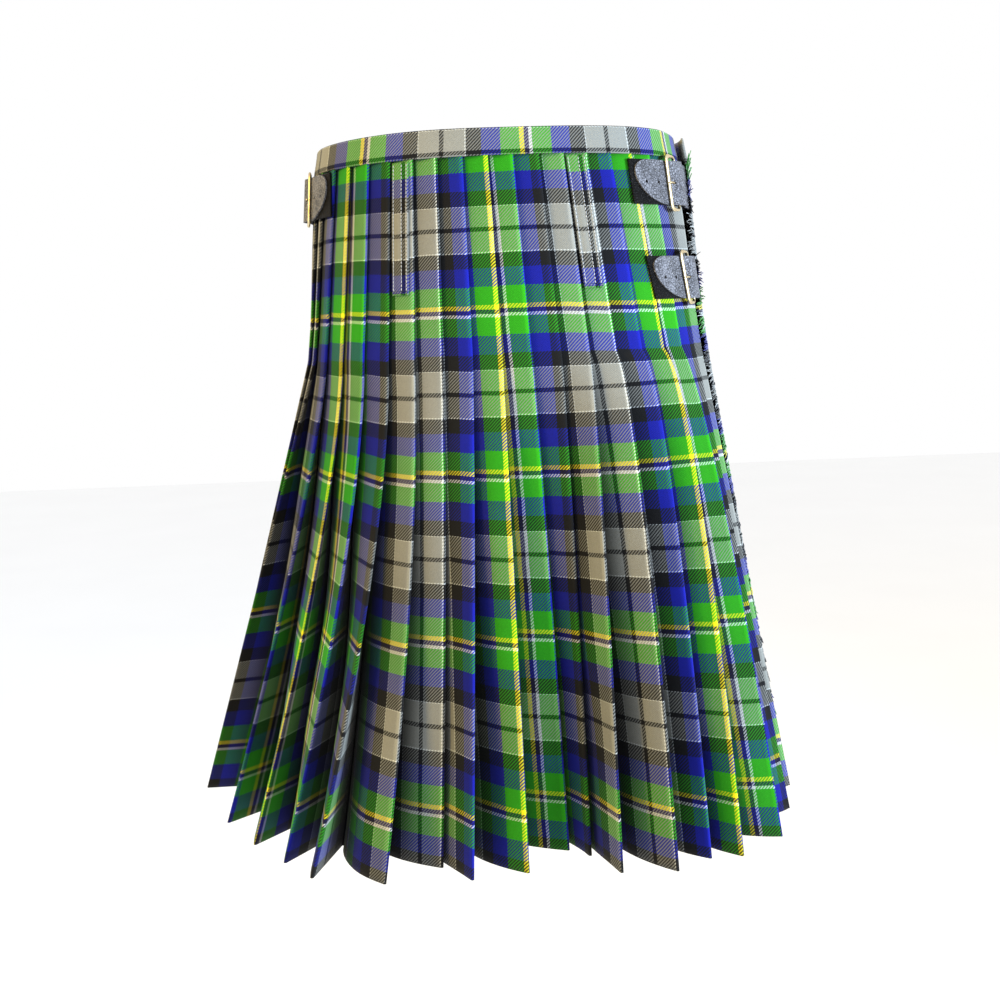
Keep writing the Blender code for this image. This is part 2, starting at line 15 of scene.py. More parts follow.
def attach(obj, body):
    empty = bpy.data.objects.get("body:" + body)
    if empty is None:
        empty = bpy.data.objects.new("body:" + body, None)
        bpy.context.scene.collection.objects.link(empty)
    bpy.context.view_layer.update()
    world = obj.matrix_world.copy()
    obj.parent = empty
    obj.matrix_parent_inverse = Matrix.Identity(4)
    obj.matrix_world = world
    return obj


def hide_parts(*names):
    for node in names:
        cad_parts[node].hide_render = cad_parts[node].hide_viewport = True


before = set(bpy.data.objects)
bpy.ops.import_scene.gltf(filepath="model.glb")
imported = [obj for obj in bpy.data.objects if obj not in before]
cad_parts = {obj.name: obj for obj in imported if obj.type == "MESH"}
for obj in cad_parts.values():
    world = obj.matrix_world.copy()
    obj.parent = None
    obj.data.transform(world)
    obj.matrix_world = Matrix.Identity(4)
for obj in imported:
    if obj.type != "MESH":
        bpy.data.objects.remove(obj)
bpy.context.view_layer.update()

MM = 0.001

# Heights, from the waistband's top down
BAND_BOTTOM = -0.0235
BODY_TOP = -0.0238
SEAM_TOP = -0.0219
FELL_BOTTOM = -0.185
HEM = -0.600
CLOTH_ROWS = 112

# Body rings from the waist to the hips
RING_STEPS = 1440
ARC_STEP = 0.0015
BODY_SQUARENESS = 2.2
BodyRing = namedtuple("BodyRing", "z half_width half_depth")
BODY_RINGS = (
    BodyRing(0.0000, 0.1575, 0.1270),
    BodyRing(-0.0235, 0.1610, 0.1290),
    BodyRing(-0.0800, 0.1665, 0.1310),
    BodyRing(-0.1500, 0.1727, 0.1350),
    BodyRing(-0.2000, 0.1790, 0.1420),
)
HEM_CENTRE_X = -0.008
HEM_HALF_WIDTH = 0.257
HEM_HALF_DEPTH = 0.205
HEM_SQUARENESS = 2.6

# Walls and seams
CLOTH_WALL = 0.0009
BAND_HALF = 0.00125
SEAM_GAP = 0.0003
# How far the over apron's edge runs in behind the first pleat
CORNER_LAP = 0.0008
# How far the cloth reaches up inside the waistband there, where both run in under the pleats
CORNER_RISE = 0.0025
CORNER_RISE_FROM = 0.958
CORNER_RISE_FULL = 0.972
CORNER_PLEAT_RISES = (1.0, 1.0, 1.0, 0.5)
LAYER_STEP = 0.0022
FOLD_BULGE = 0.55 * LAYER_STEP
INNER_BULGE = 0.30 * LAYER_STEP

# Pleats: the fold edges at the waist and at the fell, counted from the back centre
PLEAT_COUNT = 21
CENTRE_PLEAT = 11
WAIST_FACE = 0.0203
FELL_FACE = 0.0240
# How far round the middle pleat's edge lies from the middle of the back
WAIST_SHIFT = -0.010
FELL_SHIFT = -0.0045
# Shares of a face: how far each pleat runs in under its neighbour, and how long the first face is
TUCK_SHARE = 0.75
START_SHARE = 1.15
TAIL = 0.012
# The pleat, from nought, whose tuck hides the seam of the two lengths
JOINED_PLEAT = 10
FACE_STEPS = 8
UNDER_STEPS = 4
FOLD_TURNS = (0, 45, 90, 135, 180)
FOLD_POINTS = len(FOLD_TURNS)
PLEAT_POINTS = FACE_STEPS + FOLD_POINTS + UNDER_STEPS + FOLD_POINTS
# The point of the cloth's path that is the first pleat's fold edge
FIRST_TIP = 1 + FACE_STEPS + FOLD_POINTS // 2
# How far out of the folds the cloth counts at its two ends and where its first face begins, for the painted
# groove shade
FIRST_FOLD = 0.45
FIRST_FACE_FOLD = 0.5
LAST_FOLD = 0.3

# Each pleat's outer fold edge and inner fold at the hem, in plan, how far its face bows out there,
# and how late it swings out on its way down: 1 is evenly, more is nearer the hem
HemPleat = namedtuple("HemPleat", "edge_x edge_y fold_x fold_y bow late")
HEM_PLEATS = (
    HemPleat(-292, 116, -252, 108, 3, 1.00),
    HemPleat(-304, 82, -260, 76, 3, 1.00),
    HemPleat(-310, 46, -264, 44, 4, 1.00),
    HemPleat(-309, 10, -262, 10, 4, 1.00),
    HemPleat(-270, -79, -230, -42, 5, 1.20),
    HemPleat(-236, -130, -198, -84, 6, 1.30),
    HemPleat(-203, -169, -166, -118, 5, 1.40),
    HemPleat(-176, -200, -158, -140, 6, 1.50),
    HemPleat(-115, -216, -126, -152, 9, 1.55),
    HemPleat(-70, -190, -88, -150, 5, 1.30),
    HemPleat(-44, -215, -55, -150, 0, 1.18),
    HemPleat(1, -206, -20, -140, 6, 0.90),
    HemPleat(36, -166, 25, -132, 4, 0.85),
    HemPleat(54, -178, 48, -139, -1, 0.75),
    HemPleat(77, -212, 72, -144, 1, 0.65),
    HemPleat(122, -213, 110, -150, 7, 0.62),
    HemPleat(152, -192, 139, -148, 4, 0.60),
    HemPleat(179, -190, 168, -140, 4, 0.60),
    HemPleat(219, -155, 204, -110, 5, 0.75),
    HemPleat(239, -96, 212, -56, 4, 0.95),
    HemPleat(252, -42, 222, -8, 4, 1.00),
)
HEM_START_PAST_QUARTER = 0.143
HEM_TAIL_X = 0.235
HEM_TAIL_Y = 0.014

# Aprons
APRON_COLUMNS = 150
APRON_EDGE_SHARE = 0.92
APRON_HEM_EDGE_SHARE = 1.03
APRON_LIFT = 0.0056
APRON_EDGE_LIFT = 0.0086
APRON_LIFT_SHARES = (0.0, 0.06, 0.14, 0.93, 1.0)
DEEPEST_TROUGH = -0.0028
UNDER_APRON_SHARE = 0.86
UNDER_APRON_LIFT = 0.0
UNDER_LIFT_SHARES = (0.0, 0.06)
UNDER_HEM_START = 1.06
# Soft troughs and ridges of an apron: where they run, from and to which height, how wide and how deep
ApronCrease = namedtuple("ApronCrease", "share top foot width depth lean")
APRON_CREASES = (
    ApronCrease(0.13, -0.21, -0.62, 0.035, -0.0045, 0.03),
    ApronCrease(0.24, -0.30, -0.62, 0.045, 0.0050, 0.04),
    ApronCrease(0.36, -0.12, -0.40, 0.030, -0.0022, -0.02),
    ApronCrease(0.47, -0.35, -0.62, 0.050, -0.0055, 0.01),
    ApronCrease(0.55, -0.06, -0.25, 0.024, 0.0016, 0.03),
    ApronCrease(0.63, -0.27, -0.62, 0.042, 0.0048, -0.03),
    ApronCrease(0.76, -0.18, -0.62, 0.038, -0.0050, -0.05),
    ApronCrease(0.88, -0.26, -0.62, 0.034, 0.0040, -0.04),
)
# The drop over which a crease leans, fades in and fades out, and the shares at each side that stay smooth
CREASE_LEAN_DROP = 0.4
CREASE_TOP_FADE = 0.12
CREASE_FOOT_FADE = 0.06
CREASE_FREE_EDGE = 0.08
CREASE_JOIN_EDGE = 0.06
# Soft dents of the pleats' faces: which pleat, where across and down its face, their size and depth
FaceCrease = namedtuple("FaceCrease", "pleat share z width height depth")
FACE_CREASES = (
    FaceCrease(3, 0.60, -0.44, 0.22, 0.060, 2.2),
    FaceCrease(4, 0.45, -0.36, 0.26, 0.050, -1.6),
    FaceCrease(6, 0.55, -0.50, 0.24, 0.070, 2.4),
    FaceCrease(8, 0.50, -0.42, 0.28, 0.060, -2.0),
    FaceCrease(8, 0.65, -0.56, 0.20, 0.040, 2.2),
    FaceCrease(9, 0.50, -0.33, 0.26, 0.045, 1.2),
    FaceCrease(11, 0.45, -0.47, 0.30, 0.080, -2.2),
    FaceCrease(11, 0.70, -0.30, 0.22, 0.045, 1.0),
    FaceCrease(13, 0.50, -0.40, 0.30, 0.060, 1.2),
    FaceCrease(15, 0.50, -0.48, 0.26, 0.065, -2.4),
    FaceCrease(15, 0.40, -0.35, 0.24, 0.050, 1.6),
    FaceCrease(17, 0.55, -0.45, 0.26, 0.070, 2.0),
    FaceCrease(18, 0.50, -0.36, 0.24, 0.055, -1.8),
    FaceCrease(19, 0.55, -0.50, 0.24, 0.060, 2.2),
)

# Slow ripples down every face, in heights, waves for a metre and a step from pleat to pleat, and how strong
# they are in the sewn part and at the hem
FaceRipple = namedtuple("FaceRipple", "height waves step")
FACE_RIPPLES = (FaceRipple(1.0, 23.0, 2.1), FaceRipple(0.6, 41.0, 1.3))
RIPPLE_SEWN = 0.12
RIPPLE_OPEN = 0.87

# Waistband
BAND_BACK_LIFT = 0.0032
BAND_UNDERLAP = 0.020
BAND_EASED = 0.91
BAND_STEPS = 420
BAND_WAVE = 0.0004
BAND_WAVES = 31.0
BandPoint = namedtuple("BandPoint", "off z depth")
BAND_SECTION = (
    BandPoint(0.60, -0.0222, 23.4), BandPoint(1.50, -0.0220, 23.0), BandPoint(1.75, -0.0209, 21.6),
    BandPoint(1.72, -0.0187, 19.0), BandPoint(1.45, -0.0145, 14.5), BandPoint(1.20, -0.0098, 9.8),
    BandPoint(1.05, -0.0055, 5.5), BandPoint(1.00, -0.0022, 2.2), BandPoint(0.80, -0.0007, 0.7),
    BandPoint(0.40, -0.0001, 0.2),
    BandPoint(0.00, 0.0000, 0.0), BandPoint(-0.40, -0.0001, -0.2), BandPoint(-0.80, -0.0007, -0.7),
    BandPoint(-1.00, -0.0022, -2.2), BandPoint(-1.00, -0.0090, -9.0), BandPoint(-1.00, -0.0160, -16.0),
    BandPoint(-1.00, -0.0221, -22.1),
)

# Fringe of the over apron
STRAND_COUNT = 620
STRIP_WIDTH = 0.005
STRIP_WALL = 0.0012
STRAND_LENGTH = 0.014
STRAND_RADIUS = 0.00056
STRAND_POINTS = 6
# The shortest strand and how much longer others are, as shares of STRAND_LENGTH
STRAND_SHORTEST = 1.05
STRAND_LONGER = 0.45
STRAND_LAYERS = 0.0026
STRAND_CURL = 0.0030
STRAND_SAG = 0.0050
YARN_TWIST = 1.2
# How far a strand's end stands out where it lies on a strap, and falls in elsewhere
STRAND_OUT = 0.0022
STRAND_IN = -0.0026
STRAND_CLEAR = 0.003
STRIP_ROWS = 80
STRIP_POINTS = 6
FRINGE_ALONG = 0.045

# Belt loops
LOOP_WIDTH = 0.0156
LOOP_BOTTOM = -0.131
LOOP_LIFT = 0.0018
LOOP_HALF = 0.00068
LOOP_ASIDE = 0.0007
LOOP_PUFF = 0.0005
LOOP_TOP = 1.02
LOOP_PLEATS = (("belt_loop_left", 8), ("belt_loop_right", 15))
LOOP_ROWS = 60
LOOP_U = 52.0
# A belt loop's section: shares of its width and offsets in half walls, raised along its folded edges
LOOP_SECTION = (
    (-0.50, 0.10), (-0.48, 1.00), (-0.44, 1.35), (-0.40, 0.90), (-0.33, 0.50), (-0.24, 1.15), (-0.08, 1.30),
    (0.04, 1.05), (0.10, 0.70), (0.16, 1.05), (0.25, 1.20), (0.33, 0.50), (0.40, 0.90), (0.44, 1.35),
    (0.48, 1.00), (0.50, 0.10), (0.50, -0.50), (0.44, -1.00), (0.0, -1.00), (-0.44, -1.00), (-0.50, -0.50),
)
LOOP_STITCH_SHARES = (-0.40, 0.10, 0.40)
STITCH_RADIUS = 0.00028
STITCH_LENGTH = 0.0022
STITCH_PITCH = 0.0031

# Straps and buckles
STRAP_WIDTH = 0.037
STRAP_WALL = 0.0016
CHAPE_WIDTH = 0.037
CHAPE_WALL = 0.0014
WIRE_RADIUS = 0.0013
BAR_HALF = 0.0022
FRAME_LENGTH = 0.0445
FRAME_REACH = 0.015
FRAME_STEP = 0.0015
FRAME_SIDES = 14
CORNER_RADIUS = 0.004
CHAPE_COLUMNS = 28
# The prong's slot in the tab runs from this row of its grid, round the hinge
SLOT_ROW = 36
CHAPE_LIFT = 0.0061
HINGE_LIFT = 0.0084
OVER_HINGE_LIFT = 0.0125
CHAPE_RETURN_LIFT = 0.0107
STRAP_LIFT = 0.0064
TONGUE_LIFT = 0.0079
FRONT_BAR_LIFT = 0.0103
PRONG_RADIUS = 0.0008
# The buckle's place on the body, the way its strap comes from, its tilt, and the strap's length from it
BuckleSet = namedtuple("BuckleSet", "name arc z side tilt root")
BUCKLE_SETS = (
    BuckleSet("upper_right", 0.150, -0.0450, 1, 8.0, 0.082),
    BuckleSet("lower_right", 0.167, -0.1240, 1, 14.0, 0.066),
    BuckleSet("left", -0.194, -0.0430, -1, 0.0, 0.054),
)
TONGUE_LENGTH = 0.036
TONGUE_TOP_LENGTH = 0.015
TONGUE_TOP_DROP = 0.010
CHAPE_LENGTH = 0.055
RETURN_LENGTH = 0.004
LEATHER_CELL = 0.00095
HOLE_RADIUS = 0.0014
HOLES_ALONG = (-0.0255, -0.0115, 0.0066)
LEATHER_EDGE = 0.00032
STITCH_INSET = 0.003
STITCH_SIDE_INSET = 0.0035
STITCH_SQUARE = 0.018
STRAP_STITCH_PITCH = 0.0034
StrapStation = namedtuple("StrapStation", "along lift")
STRAP_STATIONS = (
    StrapStation(-TONGUE_LENGTH, TONGUE_LIFT),
    StrapStation(-0.0100, TONGUE_LIFT),
    StrapStation(0.0010, TONGUE_LIFT - 0.0001),
    StrapStation(0.0036, TONGUE_LIFT + 0.0009),
    StrapStation(0.0095, OVER_HINGE_LIFT),
    StrapStation(FRAME_REACH + 0.0045, OVER_HINGE_LIFT),
    StrapStation(FRAME_REACH + 0.0155, STRAP_LIFT + 0.0008),
    StrapStation(FRAME_REACH + 0.0205, STRAP_LIFT),
    StrapStation(0.120, STRAP_LIFT),
)
PRONG_CLEAR = WIRE_RADIUS + PRONG_RADIUS + SEAM_GAP
PRONG_STATIONS = (
    StrapStation(-0.0024, FRONT_BAR_LIFT + PRONG_CLEAR),
    StrapStation(0.0, FRONT_BAR_LIFT + PRONG_CLEAR + 0.0001),
    StrapStation(FRAME_REACH - 0.0105, FRONT_BAR_LIFT + 0.0016),
    StrapStation(FRAME_REACH - 0.0065, HINGE_LIFT + 0.0018),
    StrapStation(FRAME_REACH - PRONG_CLEAR - 0.0014, HINGE_LIFT + 0.0009),
    StrapStation(FRAME_REACH - PRONG_CLEAR, HINGE_LIFT + 0.0005),
)

# The sett, downwards and from left to right, in millimetres
Stripe = namedtuple("Stripe", "yarn width")
SETT = (
    Stripe("green", 15.3), Stripe("blue", 15.3), Stripe("black", 12.5), Stripe("white", 0.9),
    Stripe("grey", 16.9), Stripe("black", 3.7), Stripe("grey", 16.9), Stripe("white", 0.9),
    Stripe("black", 12.5), Stripe("blue", 15.3), Stripe("green", 15.6), Stripe("yellow", 3.7),
    Stripe("navy", 3.5), Stripe("white", 3.0),
)
SETT_WIDTH = sum(stripe.width for stripe in SETT)
BODY_DROP = 587.1
# The sett's place at the middle pleat's fold edge, and its step from one pleat's edge to the next
EDGE_U = 129.7
PLEAT_U = 22.67
# How far the pattern lies above its even place at a drop down the cloth, where the press has drawn it
PRESSED_DROPS = (0.0, 60.0, 125.0, 262.0, 398.0, 536.0, 590.0)
PRESSED_RISES = (1.0, 3.5, 5.0, 5.6, 3.3, -1.4, -3.0)
# The sett's place at the waistband's top and at its middle
BAND_V = 42.8
BAND_U = 108.6
TWILL_WIDTH = 2.75
THREAD_WIDTH = 0.9


class Ring:
    """A closed curve round the body, measured by its arc from the middle of the back."""

    def __init__(self, half_width, half_depth, squareness, centre_x=0.0):
        turn = np.linspace(-math.pi, math.pi, RING_STEPS + 1)
        wide = (np.abs(np.sin(turn)) / half_width) ** squareness
        deep = (np.abs(np.cos(turn)) / half_depth) ** squareness
        radius = (wide + deep) ** (-1.0 / squareness)
        self.x = radius * np.sin(turn) + centre_x
        self.y = -radius * np.cos(turn)
        steps = np.hypot(np.diff(self.x), np.diff(self.y))
        arc = np.concatenate([[0.0], np.cumsum(steps)])
        self.arc = arc - np.interp(0.0, turn, arc)
        self.length = float(arc[-1])
        self.quarter = self.length / 4.0

    def on_curve(self, arc):
        wrapped = (arc - self.arc[0]) % self.length + self.arc[0]
        return np.stack([np.interp(wrapped, self.arc, values) for values in (self.x, self.y)], axis=-1)

    def at(self, arc, lift):
        """The plan point, or points, at an arc from the back centre, moved out by the lift."""
        along = self.on_curve(np.asarray(arc) + ARC_STEP) - self.on_curve(np.asarray(arc) - ARC_STEP)
        along = along / np.linalg.norm(along, axis=-1, keepdims=True)
        out = np.stack([along[..., 1], -along[..., 0]], axis=-1)
        return self.on_curve(np.asarray(arc)) + np.asarray(lift)[..., None] * out


@lru_cache(maxsize=None)
def body_ring(z):
    levels, widths, depths = np.array(BODY_RINGS[::-1]).T
    return Ring(np.interp(z, levels, widths), np.interp(z, levels, depths), BODY_SQUARENESS)


FELL_RING = body_ring(FELL_BOTTOM)
HEM_RING = Ring(HEM_HALF_WIDTH, HEM_HALF_DEPTH, HEM_SQUARENESS, HEM_CENTRE_X)


def mix(first, second, share):
    return first + (second - first) * share


def unit(vector):
    return vector / np.linalg.norm(vector)


def smooth_step(value):
    value = np.clip(value, 0.0, 1.0)
    return value * value * (3.0 - 2.0 * value)


def drop_share(z):
    """How far a height lies between the end of the sewn part and the hem."""
    return max(0.0, (FELL_BOTTOM - z) / (FELL_BOTTOM - HEM))


def face_width(z):
    return float(np.interp(z, (FELL_BOTTOM, BODY_TOP), (FELL_FACE, WAIST_FACE)))


def edge_arc(z, pleat):
    """How far round the back a pleat's fold edge lies, within the sewn part."""
    shift = float(np.interp(z, (FELL_BOTTOM, BODY_TOP), (FELL_SHIFT, WAIST_SHIFT)))
    return shift + (pleat - CENTRE_PLEAT) * face_width(z)


def start_arc(z):
    return edge_arc(z, 0) - START_SHARE * face_width(z)


def tail_arc(z):
    return edge_arc(z, PLEAT_COUNT - 1) - TUCK_SHARE * face_width(z) + TAIL


def tail_lift(z):
    width = face_width(z)
    return -2.0 * LAYER_STEP / width * (TUCK_SHARE * width - TAIL)


def sewn_guides(ring, z):
    """Plan guides of the pressed pleats: three parallel layers, each face running under the one before."""
    width = face_width(z)
    slope = 2.0 * LAYER_STEP / width
    tuck = TUCK_SHARE * width
    guides = [ring.at(start_arc(z), 0.0)]
    from_arc = start_arc(z)
    from_lift = 0.0
    for pleat in range(PLEAT_COUNT):
        edge = edge_arc(z, pleat)
        for share in (1.0 / 3.0, 2.0 / 3.0):
            guides.append(ring.at(mix(from_arc, edge, share), mix(from_lift, 2.0 * LAYER_STEP, share)))
        guides.append(ring.at(edge, 1.5 * LAYER_STEP))
        guides.append(ring.at(edge - 0.5 * tuck, LAYER_STEP - 0.5 * slope * tuck))
        guides.append(ring.at(edge - tuck, 0.5 * LAYER_STEP - slope * tuck))
        from_arc = edge - tuck
        from_lift = -slope * tuck
    guides.append(ring.at(tail_arc(z), tail_lift(z)))
    return np.array(guides)


def hem_guides():
    """Plan guides of the open pleats along the hem."""
    last = HEM_RING.at(-(HEM_RING.quarter + HEM_START_PAST_QUARTER), 0.0)
    guides = [last]
    for row in HEM_PLEATS:
        edge = np.array([row.edge_x, row.edge_y]) * MM
        fold = np.array([row.fold_x, row.fold_y]) * MM
        along = unit(edge - last)
        outward = np.array([along[1], -along[0]])
        for share in (1.0 / 3.0, 2.0 / 3.0):
            guides.append(mix(last, edge, share) + outward * row.bow * MM)
        guides.append(edge)
        guides.append(mix(edge, fold, 0.5))
        guides.append(fold)
        last = fold
    guides.append(np.array([HEM_TAIL_X, HEM_TAIL_Y]))
    return np.array(guides)


HEM_GUIDES = hem_guides()


def swing_shares(share):
    """How far each guide point has swung from its sewn place to its place at the hem."""
    late = [row.late for row in HEM_PLEATS]
    powers = [1.0]
    for pleat, own in enumerate(late):
        before = late[max(pleat - 1, 0)]
        after = late[min(pleat + 1, PLEAT_COUNT - 1)]
        powers += [0.5 * (before + own), own, own, own, 0.5 * (own + after)]
    powers.append(1.0)
    return (share ** np.array(powers))[:, None]


def pleat_guides(z):
    if z >= FELL_BOTTOM:
        return sewn_guides(body_ring(z), z)
    return mix(sewn_guides(FELL_RING, FELL_BOTTOM), HEM_GUIDES, swing_shares(drop_share(z)))


def fold_run(before, centre, after, bulge):
    """Five points round a pressed fold, from the layer that comes first to the next."""
    to_before = unit(before - centre)
    to_after = unit(after - centre)
    out = -unit(to_before + to_after)
    across = np.array([-out[1], out[0]])
    if np.dot(across, to_before - to_after) < 0.0:
        across = -across
    turns = [math.radians(turn) for turn in FOLD_TURNS]
    half = 0.5 * LAYER_STEP
    return [centre + half * math.cos(turn) * across + bulge * math.sin(turn) * out for turn in turns]


def curve_run(points, steps):
    """Evenly spaced points between the first and last of a few, on the smooth curve through all."""
    points = np.array(points)
    spans = np.linalg.norm(np.diff(points, axis=0), axis=1)
    marks = np.concatenate([[0.0], np.cumsum(spans)]) / spans.sum()
    shares = np.linspace(0.0, 1.0, steps + 2)[1:-1]
    run = np.zeros((steps, 2))
    for own, point in enumerate(points):
        weight = np.ones(steps)
        for other in range(len(points)):
            if other != own:
                weight *= (shares - marks[other]) / (marks[own] - marks[other])
        run += weight[:, None] * point
    return run, shares


def face_ripple(pleat, z, shares):
    """How far a pleat's face stands off its smooth curve, in metres."""
    open_share = drop_share(z)
    wave = sum(row.height * math.sin(row.waves * z + row.step * pleat) for row in FACE_RIPPLES)
    ripple = mix(RIPPLE_SEWN, RIPPLE_OPEN, open_share) * wave * np.sin(math.pi * shares)
    for row in FACE_CREASES:
        if row.pleat == pleat:
            down = math.exp(-((z - row.z) / row.height) ** 2) * min(1.0, 2.0 * open_share)
            ripple = ripple + row.depth * down * np.exp(-((shares - row.share) / row.width) ** 2)
    return ripple * MM


def pleat_path(z):
    """The pleated cloth's middle line at one height."""
    guides = pleat_guides(z)
    path = [guides[0]]
    for pleat in range(PLEAT_COUNT):
        first = 1 + 5 * pleat
        face_low, face_high, edge, under, fold = guides[first:first + 5]
        edge_points = fold_run(face_high, edge, under, FOLD_BULGE)
        fold_points = fold_run(under, fold, guides[first + 5], INNER_BULGE)
        face, shares = curve_run([path[-1], face_low, face_high, edge_points[0]], FACE_STEPS)
        along = unit(edge_points[0] - path[-1])
        outward = np.array([along[1], -along[0]])
        face = face + face_ripple(pleat, z, shares)[:, None] * outward
        back, _ = curve_run([edge_points[-1], under, fold_points[0]], UNDER_STEPS)
        path += [*face, *edge_points, *back, *fold_points]
    return np.array([*path, guides[-1]])


def apron_crease(shares, z):
    """How far an apron's soft troughs and ridges lift it, at one height."""
    lift = np.zeros_like(shares)
    for row in APRON_CREASES:
        middle = row.share + row.lean * (row.top - z) / CREASE_LEAN_DROP
        down = smooth_step((row.top - z) / CREASE_TOP_FADE)
        down *= smooth_step((z - row.foot) / CREASE_FOOT_FADE + 1.0)
        lift += row.depth * down * np.exp(-((shares - middle) / row.width) ** 2)
    ends = smooth_step(shares / CREASE_FREE_EDGE) * smooth_step((1.0 - shares) / CREASE_JOIN_EDGE)
    return lift * ends


def over_apron_path(z):
    """The over apron's middle line, from its fringed edge round the front to the first pleat."""
    shares = np.linspace(0.0, 1.0, APRON_COLUMNS + 1)
    lifts = np.interp(shares, APRON_LIFT_SHARES,
                      (APRON_EDGE_LIFT, APRON_EDGE_LIFT, APRON_LIFT, APRON_LIFT, 0.0))
    lifts = lifts + np.maximum(apron_crease(shares, z), DEEPEST_TROUGH)
    level = max(z, FELL_BOTTOM)
    ring = body_ring(level)
    path = ring.at(mix(APRON_EDGE_SHARE * ring.quarter, ring.length + start_arc(level), shares), lifts)
    if z < FELL_BOTTOM:
        last = HEM_RING.length - HEM_RING.quarter - HEM_START_PAST_QUARTER
        hem = HEM_RING.at(mix(APRON_HEM_EDGE_SHARE * HEM_RING.quarter, last, shares), lifts)
        path = mix(path, hem, drop_share(z))
    path[-1] = path[-1] + unit(path[-1] - path[-2]) * CORNER_LAP
    return path


def fringe_guides(z):
    """Plan points of the fringe: where its strip starts and ends, and where its strands end."""
    steps = np.array([SEAM_GAP, SEAM_GAP + STRIP_WIDTH, SEAM_GAP + STRIP_WIDTH + STRAND_LENGTH])
    lifts = np.full(3, APRON_EDGE_LIFT)
    ring = body_ring(max(z, FELL_BOTTOM))
    sewn = ring.at(APRON_EDGE_SHARE * ring.quarter - steps, lifts)
    hem = HEM_RING.at(APRON_HEM_EDGE_SHARE * HEM_RING.quarter - steps, lifts)
    return mix(sewn, hem, drop_share(z))


def under_apron_path(z):
    """The under apron's middle line, from the last pleat round the front beneath the over apron."""
    shares = np.linspace(0.0, 1.0, APRON_COLUMNS + 1)
    level = max(z, FELL_BOTTOM)
    ring = body_ring(level)
    end = mix(APRON_EDGE_SHARE * ring.quarter, ring.length + start_arc(level), UNDER_APRON_SHARE)
    creases = np.minimum(0.8 * apron_crease(0.06 + UNDER_APRON_SHARE * shares, z), 0.0)
    lifts = np.interp(shares, UNDER_LIFT_SHARES, (tail_lift(level), UNDER_APRON_LIFT)) + creases
    path = ring.at(mix(tail_arc(level), end, shares), lifts)
    if z < FELL_BOTTOM:
        join = HEM_RING.length - HEM_RING.quarter - HEM_START_PAST_QUARTER
        last = mix(APRON_HEM_EDGE_SHARE * HEM_RING.quarter, join, UNDER_APRON_SHARE)
        lifts = np.interp(shares, UNDER_LIFT_SHARES, (0.0, UNDER_APRON_LIFT)) + creases
        hem = HEM_RING.at(mix(UNDER_HEM_START * HEM_RING.quarter, last, shares), lifts)
        hem[0] = np.array([HEM_TAIL_X, HEM_TAIL_Y])
        path = mix(path, hem, drop_share(z))
    path[0] = path[0] + unit(path[1] - path[0]) * SEAM_GAP
    return path


def band_arcs():
    """The waistband's way round at its bottom: shares of the ring's length, its lifts and its arcs."""
    ring = body_ring(BAND_BOTTOM)
    edge = APRON_EDGE_SHARE * ring.quarter
    join = ring.length + start_arc(BODY_TOP)
    back_end = ring.length + tail_arc(BODY_TOP)
    under_end = ring.length + mix(edge, join, UNDER_APRON_SHARE)
    front = join - edge
    under_start = back_end - BAND_UNDERLAP
    arcs = [edge + share * front for share in (*APRON_LIFT_SHARES[:3], BAND_EASED, 1.0)]
    arcs += [under_start, mix(under_start, under_end, UNDER_LIFT_SHARES[1]), under_end]
    lifts = (APRON_EDGE_LIFT, APRON_EDGE_LIFT, APRON_LIFT, APRON_LIFT, BAND_BACK_LIFT, BAND_BACK_LIFT,
             UNDER_APRON_LIFT, UNDER_APRON_LIFT)
    places = np.linspace(edge, under_end, BAND_STEPS + 1)
    return places / ring.length, np.interp(places, arcs, lifts), places


# Materials

def linear(code):
    """An sRGB hex colour as linear red, green, blue and alpha."""
    values = [int(code[start:start + 2], 16) / 255.0 for start in (1, 3, 5)]
    return (*[v / 12.92 if v <= 0.04045 else ((v + 0.055) / 1.055) ** 2.4 for v in values], 1.0)


def add_node(tree, kind, **given):
    """A node with its settings, and its inputs linked or set by name or, as in i0, by number."""
    node = tree.nodes.new("ShaderNode" + kind)
    for name, value in given.items():
        if name[0].islower() and not name[1:].isdigit():
            setattr(node, name, value)
            continue
        socket = node.inputs[int(name[1:]) if name[0] == "i" else name.replace("_", " ")]
        if isinstance(value, bpy.types.Node):
            value = value.outputs[0]
        if isinstance(value, bpy.types.NodeSocket):
            tree.links.new(value, socket)
        else:
            socket.default_value = value
    return node


def new_material(name):
    """A material without nodes, and the function that adds one to it."""
    material = bpy.data.materials.new(name)
    material.use_nodes = True
    material.node_tree.nodes.clear()
    return material, partial(add_node, material.node_tree)


def finish_material(node, **sockets):
    node("OutputMaterial", Surface=node("BsdfPrincipled", **sockets))


def stripe_ramp(node, along):
    """The colour of the yarn at a distance through the tartan."""
    setts = node("Math", operation="DIVIDE", i0=along, i1=SETT_WIDTH)
    ramp = node("ValToRGB", Fac=node("Math", operation="FRACT", i0=setts))
    ramp.color_ramp.interpolation = "CONSTANT"
    stops = ramp.color_ramp.elements
    start = 0.0
    for number, stripe in enumerate(SETT):
        stop = stops[number] if number < 2 else stops.new(0.999)
        stop.position = start / SETT_WIDTH
        stop.color = linear(YARNS[stripe.yarn])
        start += stripe.width
    return ramp


def tinted(node, colour, shade):
    """A colour darkened by a shade."""
    grey = node("CombineColor", i0=shade, i1=shade, i2=shade)
    return node("Mix", data_type="RGBA", blend_type="MULTIPLY", i0=1.0, i6=colour, i7=grey).outputs[2]


# Worsted wool in a two-and-two twill: matt with a soft nap, diagonal ribs, and each check half-mixed
YARNS = {
    "green": "#2CA410", "blue": "#0E189A", "black": "#101011", "grey": "#9A9A92",
    "yellow": "#F6E81C", "navy": "#140C46", "white": "#E4E8E4",
}
CLOTH_ROUGHNESS = 0.82
NAP = 0.05
EYE_GAMMA = 2.6
